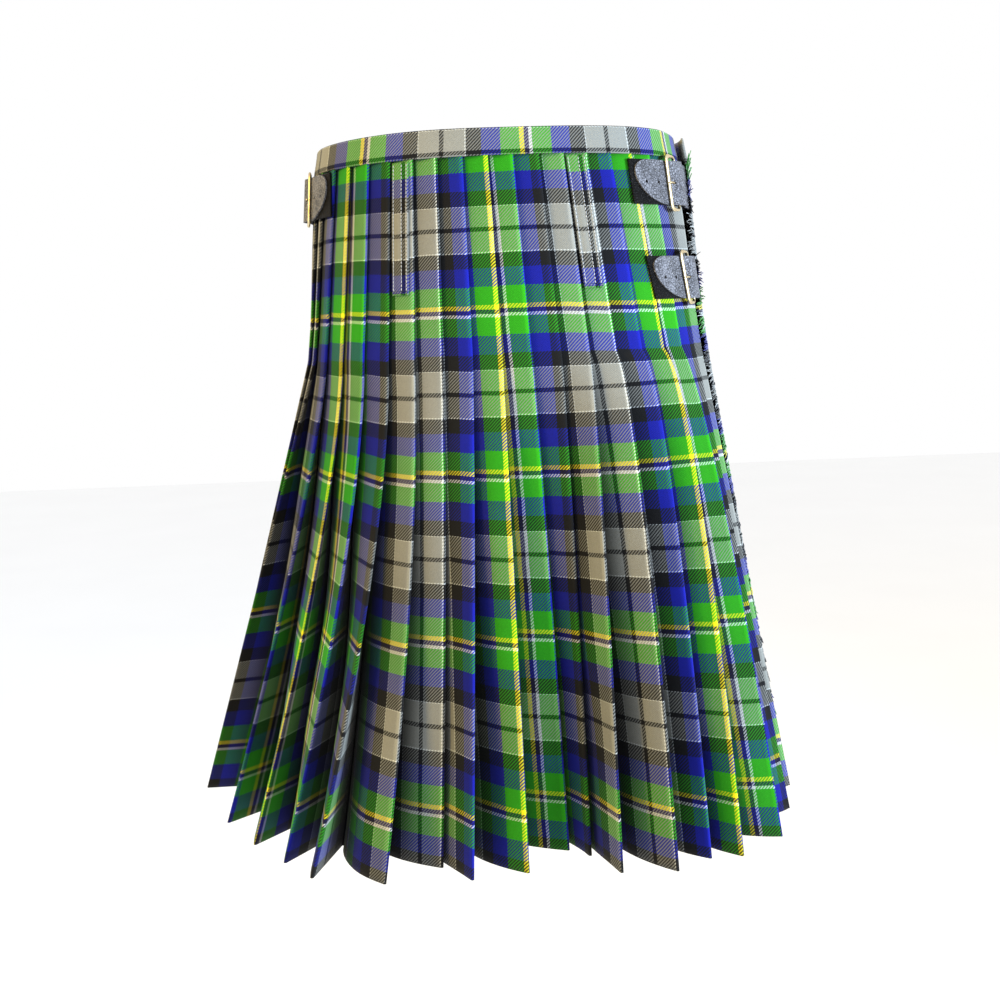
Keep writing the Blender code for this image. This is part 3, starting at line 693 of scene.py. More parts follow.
# How much of a yarn's colour shows where the other floats over it, and how much more where it floats itself
YARN_BLEED = 0.21
YARN_FLOAT = 0.58


def tartan_cloth(name, shade_low, painted_groove_shade=False):
    material, node = new_material(name)
    place = node("SeparateXYZ", i0=node("UVMap", uv_map="Cloth")).outputs
    body_place = node("TexCoord").outputs["Object"]

    # The yarns wander by less than half a millimetre, so no stripe is ruled
    wander = node("TexNoise", Vector=body_place, Scale=60.0, Detail=2.0)
    shift = node("Math", operation="MULTIPLY_ADD", i0=wander, i1=0.9, i2=-0.45)
    across = node("Math", operation="ADD", i0=place[0], i1=shift)
    down = node("Math", operation="ADD", i0=place[1], i1=shift)

    # The real twill repeats each 1.9 mm; it is drawn at 2.75 mm so that its diagonals show
    both = node("Math", operation="ADD", i0=across, i1=down)
    diagonal = node("Math", operation="DIVIDE", i0=both, i1=TWILL_WIDTH)
    over = node("Math", operation="GREATER_THAN", i0=node("Math", operation="FRACT", i0=diagonal), i1=0.5)
    # The yarns mix by their lightness as the eye sees it: a check of two is darker than their mean in light
    share = node("Math", operation="MULTIPLY_ADD", i0=over, i1=YARN_FLOAT, i2=YARN_BLEED)
    weft, warp = [node("Gamma", i0=stripe_ramp(node, along), i1=1.0 / EYE_GAMMA) for along in (down, across)]
    mixed = node("Mix", data_type="RGBA", i0=share, i6=weft.outputs[0], i7=warp.outputs[0]).outputs[2]
    cloth = node("Gamma", i0=mixed, i1=EYE_GAMMA)

    # Ribs of the twill and single threads, for the bump and for a little shade between them
    wave = node("Math", operation="MULTIPLY", i0=diagonal, i1=2.0 * math.pi)
    rib = node("Math", operation="ABSOLUTE", i0=node("Math", operation="SINE", i0=wave))
    pair = node("Mix", data_type="FLOAT", i0=over, i2=across, i3=down)
    turns = node("Math", operation="MULTIPLY", i0=pair, i1=2.0 * math.pi / THREAD_WIDTH)
    thread = node("Math", operation="SINE", i0=turns)
    height = node("Math", operation="MULTIPLY_ADD", i0=thread, i1=0.25, i2=rib)
    bump = node("Bump", Strength=0.45, Distance=0.00025, Height=height)

    worn = node("TexNoise", Vector=body_place, Scale=14.0, Detail=4.0)
    fuzz = node("TexNoise", Vector=body_place, Scale=900.0, Detail=2.0)
    # The base shade is set per piece, as painted light and shade on one cloth
    shade = shade_low
    for part, strength in ((rib, 0.20), (worn, 0.22), (fuzz, 0.26)):
        shade = node("Math", operation="MULTIPLY_ADD", i0=part, i1=strength, i2=shade)
    # The pleats get painted shade in their grooves and towards the hem, and a painted highlight on their
    # fold edges
    if painted_groove_shade:
        shade = fold_shade(node, shade)
    rough = node("Math", operation="MULTIPLY_ADD", i0=fuzz, i1=0.12, i2=CLOTH_ROUGHNESS)
    finish_material(node, Base_Color=tinted(node, cloth, shade), Roughness=rough, Normal=bump,
                    Sheen_Weight=NAP, Sheen_Roughness=0.45, Specular_IOR_Level=0.18, IOR=1.50)
    return material


def fold_shade(node, shade):
    """Painted shade where a face runs in under the pleat before it, painted shade growing towards the hem,
    and a painted highlight along each outer fold edge.
    """
    depth, down_share = node("SeparateXYZ", i0=node("UVMap", uv_map="Fold")).outputs[:2]
    # Painted shade deep in each fold, weaker in the sewn part, and a painted highlight just inside each
    # outer fold edge
    groove_shade, opened, paler = [
        node("MapRange", interpolation_type="SMOOTHSTEP", i0=share, i1=start, i2=end, i3=low, i4=high)
        for share, start, end, low, high in (
            (depth, 0.0, 0.85, 0.02, 1.0),
            (down_share, 0.15, 0.60, 0.45, 1.0),
            (depth, 0.94, 0.99, 0.0, 0.35),
        )]
    groove_shade = node("Mix", data_type="FLOAT", i0=opened, i2=1.0, i3=groove_shade)
    lit = node("Math", operation="ADD", i0=groove_shade, i1=paler)
    # Painted shade by height: a little lighter near the waist and darker towards the hem
    shade_towards_hem = node("Math", operation="MULTIPLY_ADD", i0=opened, i1=-0.24, i2=1.12)
    for part in (lit, shade_towards_hem):
        shade = node("Math", operation="MULTIPLY", i0=shade, i1=part)
    return shade


# Loose worsted yarns, pulled from the cloth's edge: the weft's own colours, with painted shade for the shade
# between the strands
def fringe_yarn(name):
    material, node = new_material(name)
    place = node("SeparateXYZ", i0=node("UVMap", uv_map="Cloth")).outputs
    turns = node("Math", operation="MULTIPLY", i0=place[0], i1=2.0 * math.pi / YARN_TWIST)
    twist = node("Math", operation="SINE", i0=turns)
    fuzz = node("TexNoise", Vector=node("TexCoord").outputs["Object"], Scale=500.0, Detail=2.0)
    # Painted shade: the yarns are darkened overall and in random mottles, standing in for the shade between
    # the strands; the twist adds the yarn's own lay
    shade = node("Math", operation="MULTIPLY_ADD", i0=fuzz, i1=0.7, i2=0.30)
    shade = node("Math", operation="MULTIPLY_ADD", i0=twist, i1=0.12, i2=shade)
    bump = node("Bump", Strength=0.6, Distance=0.0003, Height=twist)
    finish_material(node, Base_Color=tinted(node, stripe_ramp(node, place[1]), shade), Roughness=0.92,
                    Normal=bump, Sheen_Weight=0.35, Sheen_Roughness=0.5)
    return material


# Vegetable-tanned cowhide, dyed charcoal and pebbled: low gloss, pale where it is rubbed, dark in its pores
def pebbled_leather(name, deep, paler, gloss):
    material, node = new_material(name)
    place = node("TexCoord").outputs["Object"]
    # Pebbles about 2.2 mm across, with pores between them; the real ones are nearer 1 mm and would not show
    pebble = node("TexVoronoi", feature="DISTANCE_TO_EDGE", Vector=place, Scale=450.0)
    grain = node("TexNoise", Vector=place, Scale=620.0, Detail=5.0)
    patches = node("TexNoise", Vector=place, Scale=70.0, Detail=5.0)
    cells = node("MapRange", i0=pebble, i1=0.0, i2=0.25, i3=0.0, i4=1.0)
    height = node("Math", operation="MULTIPLY_ADD", i0=grain, i1=0.5, i2=cells)
    share = -1.20
    for part, strength in ((cells, 0.5), (patches, 0.9), (grain, 1.7)):
        share = node("Math", operation="MULTIPLY_ADD", i0=part, i1=strength, i2=share)
    colour = node("Mix", data_type="RGBA", i0=share, i6=linear(deep), i7=linear(paler)).outputs[2]
    rough = node("Math", operation="MULTIPLY_ADD", i0=grain, i1=0.25, i2=0.38)
    bump = node("Bump", Strength=0.8, Distance=0.0006, Height=height)
    finish_material(node, Base_Color=colour, Roughness=rough, Normal=bump, IOR=1.50,
                    Specular_IOR_Level=gloss)
    return material


# Cast brass, polished and handled: pale gold along its rubbed faces, brown in its scratches
def handled_brass(name):
    material, node = new_material(name)
    place = node("TexCoord").outputs["Object"]
    tarnish = node("TexNoise", Vector=place, Scale=160.0, Detail=6.0)
    scratch = node("TexNoise", Vector=place, Scale=1600.0, Detail=3.0)
    share = node("Math", operation="MULTIPLY_ADD", i0=tarnish, i1=1.6, i2=-0.45)
    colour = node("Mix", data_type="RGBA", i0=share, i6=linear("#F0E2BA"), i7=linear("#A8895C")).outputs[2]
    rough = node("Math", operation="MULTIPLY_ADD", i0=tarnish, i1=0.35, i2=0.20)
    bump = node("Bump", Strength=0.15, Distance=0.0001, Height=scratch)
    finish_material(node, Base_Color=colour, Metallic=1.0, Roughness=rough, Normal=bump)
    return material


# Waxed linen thread, twisted: matt, with a fine slant to its lay
def linen_thread(name, code):
    material, node = new_material(name)
    place = node("TexCoord").outputs["Object"]
    lay = node("TexWave", Vector=place, Scale=900.0, Distortion=1.5).outputs[1]
    colour = node("Mix", data_type="RGBA", blend_type="MULTIPLY", i0=0.35, i6=linear(code), i7=lay)
    bump = node("Bump", Strength=0.4, Distance=0.0001, Height=lay)
    finish_material(node, Base_Color=colour.outputs[2], Roughness=0.75, Normal=bump)
    return material


# Painted plaster, rolled on: a matt white with a faint mottle
def painted_floor(name):
    material, node = new_material(name)
    mottle = node("TexNoise", Vector=node("TexCoord").outputs["Object"], Scale=3.0, Detail=3.0)
    colour = node("Mix", data_type="RGBA", i0=mottle, i6=linear("#F6F6F6"), i7=linear("#FAFAFA")).outputs[2]
    finish_material(node, Base_Color=colour, Roughness=0.9)
    return material


# Meshes

def finish_piece(name, mesh, material, node):
    """A finished mesh as a piece that stands for its solid."""
    mesh.materials.append(material)
    mesh.shade_smooth()
    piece = bpy.data.objects.new(name, mesh)
    bpy.context.scene.collection.objects.link(piece)
    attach(piece, "root")
    if node:
        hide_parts(node)
    return piece


def plain_mesh(name, points, faces, corner_places=None, corner_folds=None):
    mesh = bpy.data.meshes.new(name)
    mesh.from_pydata([tuple(float(v) for v in point) for point in points], [], faces)
    for layer_name, places in (("Cloth", corner_places), ("Fold", corner_folds)):
        if places:
            layer = mesh.uv_layers.new(name=layer_name)
            layer.data.foreach_set("uv", np.asarray(places, dtype=np.float32).ravel())
    mesh.update()
    return mesh


def grid_mesh(name, rows, left_u, right_u, row_v, kept=None, fold=None):
    """A grid of points with the cloth's own coordinates, in millimetres, at each face's corners."""
    row_count, column_count = rows.shape[:2]
    faces = []
    places = []
    folds = []
    for row in range(row_count - 1):
        for column in range(column_count - 1):
            if kept is not None and not kept[row, column]:
                continue
            corner = row * column_count + column
            faces.append((corner, corner + column_count, corner + column_count + 1, corner + 1))
            places.append((left_u[row, column], row_v[row, column]))
            places.append((left_u[row + 1, column], row_v[row + 1, column]))
            places.append((right_u[row + 1, column], row_v[row + 1, column + 1]))
            places.append((right_u[row, column], row_v[row, column + 1]))
            if fold is not None:
                here, there = fold[column:column + 2]
                top, foot = row / (row_count - 1), (row + 1) / (row_count - 1)
                folds += [(here, top), (here, foot), (there, foot), (there, top)]
    return plain_mesh(name, rows.reshape(-1, 3), faces, places, folds)


def joined_rings(count, sides, closed=False):
    """The faces between rings of points, one after another, and at both ends unless they close."""
    faces = []
    for step in range(count if closed else count - 1):
        here = step * sides
        there = (step + 1) % count * sides
        for turn in range(sides):
            after = (turn + 1) % sides
            faces.append((here + turn, there + turn, there + after, here + after))
    if not closed:
        faces.append(tuple(range(sides)))
        faces.append(tuple(range(count * sides - 1, (count - 1) * sides - 1, -1)))
    return faces


def ring_mesh(name, sections, places):
    """Closed cross-sections joined one after another, with flat ends."""
    *sides, first_end, last_end = joined_rings(len(sections), len(sections[0]))
    faces = [face[:1] + face[:0:-1] for face in sides] + [first_end[::-1], last_end[::-1]]
    points = [point for section in sections for point in section]
    flat_places = [place for row in places for place in row]
    return plain_mesh(name, points, faces, [flat_places[corner] for face in faces for corner in face])


def ring_points(point, along, up, wide, high, sides):
    """An oval ring of points round a line, its width square to the line and to the way up."""
    side = unit(np.cross(unit(along), up))
    over = np.cross(side, unit(along))
    turns = [2.0 * math.pi * turn / sides for turn in range(sides)]
    return [point + wide * math.cos(turn) * side + high * math.sin(turn) * over for turn in turns]


def add_wall(piece, thickness):
    wall = piece.modifiers.new("wall", "SOLIDIFY")
    wall.thickness = thickness
    wall.offset = 0.0
    wall.use_rim = True


def path_lengths(rows):
    """Distances along each row of a grid of points, from its first point."""
    steps = np.linalg.norm(np.diff(rows, axis=1), axis=2)
    return np.concatenate([np.zeros((len(rows), 1)), np.cumsum(steps, axis=1)], axis=1)


def drop_lengths(rows):
    """Distances down each column, drawn so that every column ends at the same line of the sett."""
    drops = path_lengths(rows.transpose(1, 0, 2)).T
    drops = BODY_DROP * drops / drops[-1]
    return drops + np.interp(drops, PRESSED_DROPS, PRESSED_RISES)


def level_grid(path_at):
    """A cloth's middle line at each level from the waistband to the hem."""
    rows = []
    for z in np.linspace(SEAM_TOP, HEM, CLOTH_ROWS):
        path = path_at(z)
        rows.append(np.column_stack([path, np.full(len(path), z)]))
    return np.array(rows)


def flat_size(rows):
    """The mean width and length of a grid of cloth."""
    drops = path_lengths(rows.transpose(1, 0, 2))
    return float(path_lengths(rows)[:, -1].mean()), float(drops[:, -1].mean())


def add_pleats(material):
    """Two lengths of pleated cloth, joined by a seam within the tuck of one pleat."""
    rows = level_grid(pleat_path)
    lengths = path_lengths(rows) / MM
    drops = drop_lengths(rows)
    owners = np.minimum(np.arange(rows.shape[1] - 1) // PLEAT_POINTS, PLEAT_COUNT - 1)
    starts = EDGE_U + (owners - CENTRE_PLEAT) * PLEAT_U
    edge_lengths = lengths[:, FIRST_TIP + PLEAT_POINTS * owners]
    left_u = starts + lengths[:, :-1] - edge_lengths
    right_u = starts + lengths[:, 1:] - edge_lengths
    join = JOINED_PLEAT * PLEAT_POINTS + FACE_STEPS + FOLD_POINTS + UNDER_STEPS // 2
    # How deep in its fold each point lies, read by the pleats' material for its painted groove shade and
    # edge highlight: from nothing at the inner folds to one at the outer edges, on both sides of each pleat
    risen = list(np.linspace(0.0, 1.0, FACE_STEPS + 2)[1:-1]) + [1.0] * FOLD_POINTS
    fallen = list(np.linspace(1.0, 0.0, UNDER_STEPS + 2)[1:-1]) + [0.0] * FOLD_POINTS
    fold = np.array([FIRST_FOLD] + (risen + fallen) * PLEAT_COUNT + [LAST_FOLD])
    fold[1:FACE_STEPS + 1] = np.linspace(FIRST_FACE_FOLD, 1.0, FACE_STEPS)
    for name, first, last in (("pleats_left", 0, join), ("pleats_right", join, rows.shape[1] - 1)):
        part = rows[:, first:last + 1].copy()
        end, inner = (-1, -2) if first == 0 else (0, 1)
        for row in part:
            row[end] += unit(row[inner] - row[end]) * 0.5 * SEAM_GAP
        if first == 0:
            part[0, :len(CORNER_PLEAT_RISES), 2] += CORNER_RISE * np.array(CORNER_PLEAT_RISES)
        mesh = grid_mesh(name + "_cloth", part, left_u[:, first:last], right_u[:, first:last],
                         drops[:, first:last + 1], fold=fold[first:last + 1])
        piece = finish_piece(name + "_cloth", mesh, material, name)
        add_wall(piece, CLOTH_WALL)
        flat_size(part)


def add_apron(name, path_at, first_u, material):
    rows = level_grid(path_at)
    lengths = first_u + path_lengths(rows) / MM
    drops = drop_lengths(rows)
    if name == "over_apron":
        shares = np.linspace(0.0, 1.0, APRON_COLUMNS + 1)
        rows[0, :, 2] += CORNER_RISE * np.interp(shares, (CORNER_RISE_FROM, CORNER_RISE_FULL), (0.0, 1.0))
    mesh = grid_mesh(name + "_cloth", rows, lengths[:, :-1], lengths[:, 1:], drops)
    piece = finish_piece(name + "_cloth", mesh, material, name)
    add_wall(piece, CLOTH_WALL)
    flat_size(rows)


def add_waistband(material):
    shares, lifts, places = band_arcs()
    columns = []
    for point in BAND_SECTION:
        ring = body_ring(point.z)
        plan = ring.at(shares * ring.length, lifts + point.off * BAND_HALF)
        wave = BAND_WAVE * (np.sin(BAND_WAVES * places) * max(0.0, 1.0 - point.z / BAND_BOTTOM) - 1.0)
        columns.append(np.column_stack([plan, point.z + wave]))
    back = body_ring(BAND_BOTTOM).length
    corners = [[((place - back) / MM + BAND_U, BAND_V + abs(point.depth)) for point in BAND_SECTION]
               for place in places]
    mesh = ring_mesh("waistband_cloth", np.stack(columns, axis=1), corners)
    piece = finish_piece("waistband_cloth", mesh, material, "waistband")


Line = namedtuple("Line", "points radii sides v")


def add_tubes(name, lines, material, node):
    """One piece made of many tubes, each along a line with its radii, sides and place in the sett."""
    points = []
    faces = []
    places = []
    for line in lines:
        middles = np.array(line.points, dtype=float)
        ahead = np.gradient(middles, axis=0)
        up = (1.0, 0.0, 0.0) if abs(unit(ahead[0])[2]) > 0.9 else (0.0, 0.0, 1.0)
        first = len(points)
        for point, along, radius in zip(middles, ahead, line.radii):
            points += ring_points(point, along, up, radius, radius, line.sides)
        step_u = STRAND_LENGTH / MM / (len(middles) - 1)
        for face in joined_rings(len(middles), line.sides):
            faces.append(tuple(first + corner for corner in face))
            places += [(corner // line.sides * step_u, line.v) for corner in face]
    return finish_piece(name, plain_mesh(name, points, faces, places), material, node)


def over_strap(z):
    """Whether a yarn of the fringe at this height lies on one of the two straps that go in under it."""
    middles = [buckle_point(row, FRINGE_ALONG, 0.0, STRAP_LIFT)[2] for row in BUCKLE_SETS if row.side > 0]
    return min(abs(z - middle) for middle in middles) < 0.5 * STRAP_WIDTH + STRAND_CLEAR


def fringe_strand(number, rng):
    """One loose yarn: its own length, layer and curl, and the sag of the topmost ones."""
    share = (number + 0.5) / STRAND_COUNT
    z = mix(BODY_TOP - 0.001, HEM + 0.0015, share)
    _, end, tip = fringe_guides(z)
    reach = tip - end
    out = np.array([-unit(reach)[1], unit(reach)[0]])
    if np.dot(out, end) < 0.0:
        out = -out
    length = STRAND_SHORTEST + STRAND_LONGER * rng.random()
    layer = (rng.random() - 0.3) * STRAND_LAYERS
    # Neighbours clump together in uneven bunches, and the topmost twentieth stands up
    clump = math.sin(0.31 * number) + math.sin(0.117 * number + 1.0)
    curl = 0.0006 * clump + STRAND_CURL * (rng.random() - 0.5)
    curl += STRAND_OUT if over_strap(z) else STRAND_IN
    sag = -0.0015 + STRAND_SAG * rng.random() - 0.011 * max(0.0, 1.0 - share / 0.05)
    phase = rng.random() * 6.3
    points = []
    for way in np.linspace(0.0, 1.0, STRAND_POINTS):
        plan = mix(end - 0.0012 * unit(reach), end + reach * length, way)
        plan = plan + out * (layer * (0.3 + way) + curl * way * way)
        drop = sag * way * way + 0.0006 * math.sin(phase + 5.0 * way) * way
        points.append((*plan, max(z - drop, HEM + 0.0005)))
    v = BODY_DROP * share + 0.4 * rng.random()
    if number % 47 == 11:
        # A few white yarns stray out of their stripe
        v = SETT_WIDTH - 0.5 * SETT[-1].width
    radii = [STRAND_RADIUS * (1.0 - 0.45 * way) * (0.85 + 0.5 * rng.random())
             for way in np.linspace(0.0, 1.0, STRAND_POINTS)]
    return Line(points, radii, 4, v)


def add_fringe(material):
    """Loose yarns along the over apron's edge, fused into the strip of cloth they were pulled from."""
    rng = np.random.default_rng(7)
    strands = [fringe_strand(number, rng) for number in range(STRAND_COUNT)]
    add_tubes("fringe_yarns", strands, material, "fringe")
    levels = np.linspace(BODY_TOP - 0.0008, HEM + 0.0008, STRIP_ROWS)
    plans = [np.linspace(*fringe_guides(z)[:2], STRIP_POINTS) for z in levels]
    grid = np.array([[(*point, z) for point in plan] for plan, z in zip(plans, levels)])
    lengths = path_lengths(grid) / MM
    mesh = grid_mesh("fringe_strip", grid, lengths[:, :-1], lengths[:, 1:], drop_lengths(grid))
    add_wall(finish_piece("fringe_strip", mesh, material, "fringe"), STRIP_WALL)


def loop_point(pleat, share, z, off, above=0.0):
    """A point of a belt loop: a share of its width across, an offset in half walls, and above that."""
    width = face_width(z)
    aside = LOOP_ASIDE - 0.5 * width + share * LOOP_WIDTH
    puff = LOOP_PUFF * math.sin(math.pi * (z - BODY_TOP) / (LOOP_BOTTOM - BODY_TOP)) if off > 0.0 else 0.0
    lift = 2.0 * LAYER_STEP * (1.0 + aside / width) + LOOP_LIFT + off * LOOP_HALF + puff + above
    return np.array([*body_ring(z).at(edge_arc(z, pleat) + aside, lift), z])


def add_belt_loops(material, thread, dark_thread):
    for name, pleat in LOOP_PLEATS:
        sections = []
        places = []
        for z in np.linspace(BODY_TOP - 0.0004, LOOP_BOTTOM, LOOP_ROWS):
            drop = (BODY_TOP - z) / MM
            drop += np.interp(drop, PRESSED_DROPS, PRESSED_RISES)
            sections.append([loop_point(pleat, share, z, off) for share, off in LOOP_SECTION])
            places.append([(LOOP_U + (share + 0.5) * LOOP_WIDTH / MM, drop) for share, _ in LOOP_SECTION])
        mesh = ring_mesh(name + "_cloth", sections, places)
        piece = finish_piece(name + "_cloth", mesh, material, name)
        add_loop_stitches(name, pleat, thread, dark_thread)


def add_loop_stitches(name, pleat, thread, dark_thread):
    """Topstitching down a belt loop's sides and its inner fold, and a close bar across its foot."""
    lines = []
    for share in LOOP_STITCH_SHARES:
        z = BODY_TOP - 0.002
        while z > LOOP_BOTTOM + 0.004:
            lines.append(stitch_line([loop_point(pleat, share, z - part * STITCH_LENGTH, LOOP_TOP, 0.0001)
                                      for part in (0.0, 0.5, 1.0)]))
            z -= STITCH_PITCH
    add_tubes(name + "_topstitch", lines, thread, None)
    bar = []
    for row_z in (LOOP_BOTTOM + 0.0016, LOOP_BOTTOM + 0.0034):
        for share in np.linspace(-0.44, 0.44, 8):
            places = [(share + shift, row_z + 0.3 * shift * LOOP_WIDTH) for shift in (-0.035, 0.0, 0.035)]
            bar.append(stitch_line([loop_point(pleat, *place, LOOP_TOP, 0.0002) for place in places]))
    add_tubes(name + "_bar", bar, dark_thread, None)


def stitch_line(points):
    return Line(points, [0.6 * STITCH_RADIUS, STITCH_RADIUS, 0.6 * STITCH_RADIUS], 5, 0.0)


def buckle_point(row, along, across, lift):
    """A point of a buckle set: along its strap away from the tongue, across it upwards, and out."""
    tilt = math.radians(row.tilt)
    arc = row.arc + row.side * (along - across * math.sin(tilt))
    z = row.z + across * math.cos(tilt)
    return np.array([*body_ring(z).at(arc, lift), z])


def buckle_points(row, alongs, acrosses, lifts):
    """A grid of points of a buckle set at once, each on the ring of its own height."""
    tilt = math.radians(row.tilt)
    arcs = row.arc + row.side * (alongs - acrosses * math.sin(tilt))
    heights = row.z + acrosses * math.cos(tilt)
    points = np.zeros((*alongs.shape, 3))
    keys = np.round(heights, 5)
    for key in np.unique(keys):
        chosen = keys == key
        points[chosen, :2] = body_ring(float(key)).at(arcs[chosen], lifts[chosen])
        points[chosen, 2] = heights[chosen]
    return points


def strap_lift(along):
    """The strap's rise over the hinge and its lie on the cloth, rounded off by a running mean."""
    stations = np.array(STRAP_STATIONS).T
    return float(np.mean(np.interp(along + np.linspace(-0.0022, 0.0022, 9), *stations)))


def tongue_bounds(along):
    """The lower and upper edge of a strap: a small round above its tip and a long curve below."""
    half = 0.5 * STRAP_WIDTH
    from_tip = along + TONGUE_LENGTH
    tip = half - TONGUE_TOP_DROP
    upper = half
    lower = -half
    if from_tip < TONGUE_TOP_LENGTH:
        upper = tip + TONGUE_TOP_DROP * math.sqrt(max(0.0, 1.0 - (1.0 - from_tip / TONGUE_TOP_LENGTH) ** 2))
    if from_tip < TONGUE_LENGTH:
        lower = tip - (half + tip) * math.sqrt(max(0.0, 1.0 - (1.0 - from_tip / TONGUE_LENGTH) ** 2))
    return min(lower, upper - 0.0012), upper


def punch(flat, centres, hole):
    """Which cells of a flat grid a round hole takes away, with the points round it drawn to its rim."""
    gone = np.hypot(centres[..., 0] - hole, centres[..., 1]) <= HOLE_RADIUS
    offset = flat - np.array([hole, 0.0])
    distance = np.hypot(offset[..., 0], offset[..., 1])
    touched = np.zeros(distance.shape, dtype=bool)
    for first, second in ((0, 0), (1, 0), (0, 1), (1, 1)):
        touched[first:first + gone.shape[0], second:second + gone.shape[1]] |= gone
    rim = touched & (distance > 0.45 * HOLE_RADIUS)
    flat[rim] = np.array([hole, 0.0]) + offset[rim] / distance[rim][:, None] * HOLE_RADIUS
    return gone


def add_strap(row, material):
    """The strap as a fine grid, cut to its tongue's shape, with its holes punched through it."""
    name = "strap_" + row.name
    # Rows lie closer together towards the round tip
    near_tip = 0.0002 - TONGUE_LENGTH + 0.006 * np.linspace(0.0, 1.0, 12) ** 1.7
    rest = np.arange(near_tip[-1] + LEATHER_CELL, row.root, LEATHER_CELL)
    alongs = np.concatenate([near_tip, rest, [row.root]])
    columns = int(round(STRAP_WIDTH / LEATHER_CELL))
    acrosses = np.array([np.linspace(*tongue_bounds(along), columns + 1) for along in alongs])
    flat = np.stack([np.repeat(alongs[:, None], columns + 1, axis=1), acrosses], axis=-1)
    centres = 0.25 * (flat[:-1, :-1] + flat[1:, :-1] + flat[:-1, 1:] + flat[1:, 1:])
    kept = np.ones(centres.shape[:2], dtype=bool)
    for hole in HOLES_ALONG:
        kept &= ~punch(flat, centres, hole)
    lifts = np.array([[strap_lift(along)] * (columns + 1) for along in alongs])
    points = buckle_points(row, flat[..., 0], flat[..., 1], lifts)
    if row.side > 0:
        points, kept, flat = points[::-1], kept[::-1], flat[::-1]
    lengths = flat[..., 0] / MM
    mesh = grid_mesh(name + "_leather", points, lengths[:, :-1], lengths[:, 1:], flat[..., 1] / MM, kept)
    drop_loose_points(mesh)
    piece = finish_piece(name + "_leather", mesh, material, name)
    add_wall(piece, STRAP_WALL)
    bevel = piece.modifiers.new("edge", "BEVEL")
    bevel.width = LEATHER_EDGE
    bevel.segments = 2
    bevel.limit_method = "ANGLE"
    bevel.angle_limit = math.radians(50.0)


def drop_loose_points(mesh):
    edit = bmesh.new()
    edit.from_mesh(mesh)
    for point in [point for point in edit.verts if not point.link_faces]:
        edit.verts.remove(point)
    edit.to_mesh(mesh)
    edit.free()


def chape_stations():
    """The tab's run: flat from its sewn end, round the hinge bar, and a short way back."""
    hinge = FRAME_REACH
    stations = [(along, CHAPE_LIFT) for along in np.linspace(hinge - CHAPE_LENGTH, hinge - 0.001, 40)]
    middle = 0.5 * (CHAPE_LIFT + CHAPE_RETURN_LIFT)
    half = 0.5 * (CHAPE_RETURN_LIFT - CHAPE_LIFT)
    for turn in range(-90, 91, 15):
        angle = math.radians(turn)
        stations.append((hinge + half * math.cos(angle), middle + half * math.sin(angle)))
    stations.append((hinge - 0.5 * RETURN_LENGTH, CHAPE_RETURN_LIFT))
    stations.append((hinge - RETURN_LENGTH, CHAPE_RETURN_LIFT))
    return np.array(stations)


def add_chape(row, material):
    """The tab that holds the buckle, folded round its hinge bar, with a slot there for the prong."""
    name = "chape_" + row.name
    stations = chape_stations()
    acrosses = np.linspace(-0.5 * CHAPE_WIDTH, 0.5 * CHAPE_WIDTH, CHAPE_COLUMNS + 1)
    alongs, lifts = [np.repeat(values[:, None], len(acrosses), axis=1) for values in stations.T]
    points = buckle_points(row, alongs, np.tile(acrosses, (len(stations), 1)), lifts)
    kept = np.ones((len(stations) - 1, CHAPE_COLUMNS), dtype=bool)
    kept[SLOT_ROW:, CHAPE_COLUMNS // 2 - 2:CHAPE_COLUMNS // 2 + 2] = False
    if row.side > 0:
        points, kept = points[::-1], kept[::-1]
    lengths = path_lengths(points) / MM
    mesh = grid_mesh("chape", points, lengths[:, :-1], lengths[:, 1:], lengths, kept)
    drop_loose_points(mesh)
    add_wall(finish_piece(name + "_leather", mesh, material, name), CHAPE_WALL)


def frame_outline():
    """Evenly spaced points along and across the buckle's frame: a rectangle with round corners."""
    half = 0.5 * FRAME_LENGTH
    middle = 0.5 * FRAME_REACH
    corners = []
    for side_along, side_across, first in ((1, 1, 0), (-1, 1, 90), (-1, -1, 180), (1, -1, 270)):
        for step in range(0, 91, 10):
            angle = math.radians(first + step)
            corners.append(np.array([
                middle + side_along * (middle - CORNER_RADIUS) + CORNER_RADIUS * math.cos(angle),
                side_across * (half - CORNER_RADIUS) + CORNER_RADIUS * math.sin(angle)]))
    outline = []
    for here, there in zip(corners, corners[1:] + corners[:1]):
        parts = max(1, int(round(math.dist(here, there) / FRAME_STEP)))
        outline += [mix(here, there, part / parts) for part in range(parts)]
    return outline


def add_buckle(row, material):
    """The cast frame, broad along its front bar and round at its hinge, and the prong."""
    points = []
    widths = []
    for along, across in frame_outline():
        share = along / FRAME_REACH
        points.append(buckle_point(row, along, across, mix(FRONT_BAR_LIFT, HINGE_LIFT, share)))
        widths.append(mix(BAR_HALF, WIRE_RADIUS, smooth_step(share * 1.6)))
    points = np.array(points)
    ahead = np.roll(points, -1, axis=0) - np.roll(points, 1, axis=0)
    out = unit(points.mean(axis=0) * (1.0, 1.0, 0.0))
    rings = []
    for point, along, wide in zip(points, ahead, widths):
        rings += ring_points(point, along, out, wide, WIRE_RADIUS, FRAME_SIDES)
    faces = joined_rings(len(points), FRAME_SIDES, closed=True)
    if row.side < 0:
        faces = [face[::-1] for face in faces]
    name = "buckle_" + row.name
    finish_piece(name + "_brass", plain_mesh("buckle", rings, faces), material, name)

    alongs, lifts = np.array(PRONG_STATIONS).T
    line = []
    radii = []
    for share in np.linspace(0.0, 1.0, 24):
        along = mix(alongs[-1], alongs[0], share)
        lift = float(np.mean(np.interp(along + np.linspace(-0.0008, 0.0008, 5), alongs, lifts)))
        line.append(buckle_point(row, along, 0.0, lift))
        radii.append(PRONG_RADIUS * (1.0 - 0.45 * smooth_step((share - 0.85) / 0.15)))
    name = "prong_" + row.name
    add_tubes(name + "_brass", [Line(line, radii, 12, 0.0)], material, name)


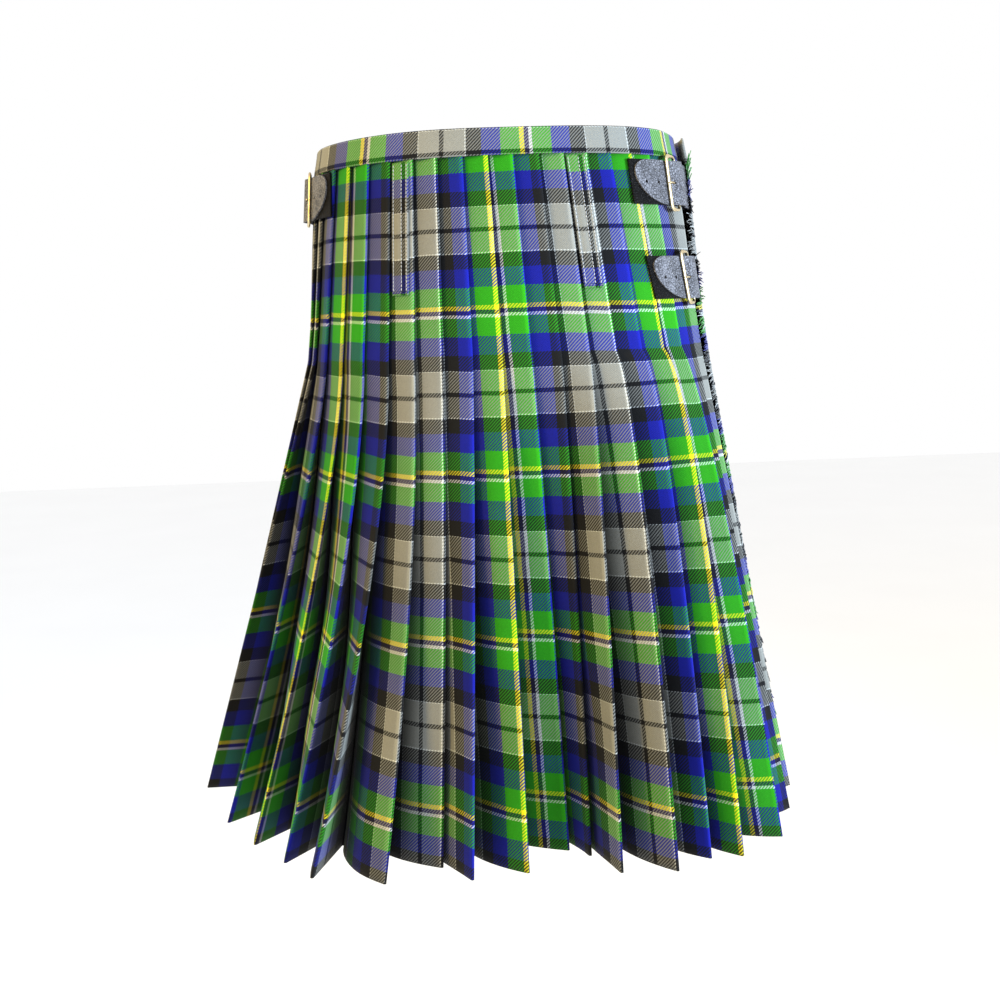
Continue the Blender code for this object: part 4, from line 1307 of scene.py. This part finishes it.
def add_strap_stitches(row, thread):
    """The stitches that hold a strap's root to the cloth beneath it, in a square with a cross."""
    lift = STRAP_LIFT + 0.5 * STRAP_WALL + 0.0001
    outer = row.root - STITCH_INSET
    inner = outer - STITCH_SQUARE
    high = 0.5 * STRAP_WIDTH - STITCH_SIDE_INSET
    corners = np.array([(outer, -high), (outer, high), (inner, high), (inner, -high)])
    lines = []
    for first, last in ((0, 1), (1, 2), (2, 3), (3, 0), (0, 2), (1, 3)):
        count = int(math.dist(corners[first], corners[last]) / STRAP_STITCH_PITCH)
        for number in range(count):
            points = []
            for part, rise in ((0.15, 0.0), (0.5, 0.0002), (0.85, 0.0)):
                place = mix(corners[first], corners[last], (number + part) / count)
                points.append(buckle_point(row, *place, lift + rise))
            lines.append(stitch_line(points))
    add_tubes("stitches_" + row.name, lines, thread, None)


# Room, light and camera
STUDIO_LAMPS = (
    ("warm_lamp", (-2.2, -1.3, 0.9), 11.0, "#FFD44A"),
    ("cool_lamp", (2.2, -1.7, -0.1), 26.0, "#D0E6FF"),
)
LAMP_SIZE = 0.7
LAMP_SPREAD = 70.0
LAMP_AIM = Vector((0.0, 0.0, -0.3))
FLOOR_HALF = 6.0
FLOOR_Z = -1.05
LENS = 44.17
CAMERA_PLACE = (-0.008, -1.15, -0.152)
CAMERA_TURN = 0.1
CAMERA_PITCH = -8.46
CAMERA_ROLL = -2.28


def add_room():
    corners = [(x * FLOOR_HALF, y * FLOOR_HALF, FLOOR_Z) for x, y in ((-1, -1), (1, -1), (1, 1), (-1, 1))]
    floor = plain_mesh("floor", corners, [(0, 1, 2, 3)])
    floor.materials.append(painted_floor("painted_floor"))
    stage = bpy.data.objects.new("floor", floor)
    bpy.context.scene.collection.objects.link(stage)

    world = bpy.data.worlds.new("studio")
    world.use_nodes = True
    world.node_tree.nodes["Background"].inputs["Color"].default_value = linear("#FFFFFF")
    world.node_tree.nodes["Background"].inputs["Strength"].default_value = 1.0
    bpy.context.scene.world = world
    bpy.context.scene.view_settings.view_transform = "Standard"

    for name, place, power, code in STUDIO_LAMPS:
        light = bpy.data.lights.new(name, "AREA")
        light.size = LAMP_SIZE
        light.spread = math.radians(LAMP_SPREAD)
        light.energy = power
        light.color = linear(code)[:3]
        lamp = bpy.data.objects.new(name, light)
        lamp.location = place
        lamp.rotation_euler = (LAMP_AIM - lamp.location).to_track_quat("-Z", "Y").to_euler()
        bpy.context.scene.collection.objects.link(lamp)


def add_camera():
    camera_data = bpy.data.cameras.new("camera")
    camera_data.sensor_width = 36.0
    camera_data.lens = LENS
    camera = bpy.data.objects.new("camera", camera_data)
    place = Matrix.Translation(CAMERA_PLACE)
    for turn, axis in ((CAMERA_TURN, "Z"), (90.0 + CAMERA_PITCH, "X"), (CAMERA_ROLL, "Z")):
        place = place @ Matrix.Rotation(math.radians(turn), 4, axis)
    camera.matrix_world = place
    bpy.context.scene.collection.objects.link(camera)
    bpy.context.scene.camera = camera


def main():
    # The tartan materials are one cloth whose base shade differs from piece to piece: lit and shaded copies,
    # painted lighter on the band and loops and darker on the pleats
    apron_cloth = tartan_cloth("worsted_twill_aprons", 0.26)
    pale_thread = linen_thread("pale_linen_thread", "#D9DCE0")
    dark_thread = linen_thread("dark_linen_thread", "#1B2230")
    leather = pebbled_leather("pebbled_cowhide", "#303033", "#8A8A90", 0.30)
    # The tab is a near-black copy of the strap's leather: partly its own darker dye, partly painted shade
    # where it lies under the strap and tongue
    shaded_chape_leather = pebbled_leather("pebbled_cowhide_shaded", "#080808", "#1B1918", 0.08)
    brass = handled_brass("handled_brass")

    add_waistband(tartan_cloth("worsted_twill_band", 0.30))
    add_pleats(tartan_cloth("worsted_twill_pleats", 0.24, painted_groove_shade=True))
    add_apron("over_apron", over_apron_path, 40.0, apron_cloth)
    add_apron("under_apron", under_apron_path, 12.0, apron_cloth)
    add_fringe(fringe_yarn("loose_worsted_yarn"))
    add_belt_loops(tartan_cloth("worsted_twill_loops", 0.28), pale_thread, dark_thread)
    for row in BUCKLE_SETS:
        add_strap(row, leather)
        add_chape(row, shaded_chape_leather)
        add_buckle(row, brass)
        add_strap_stitches(row, dark_thread)
    add_room()
    add_camera()


main()
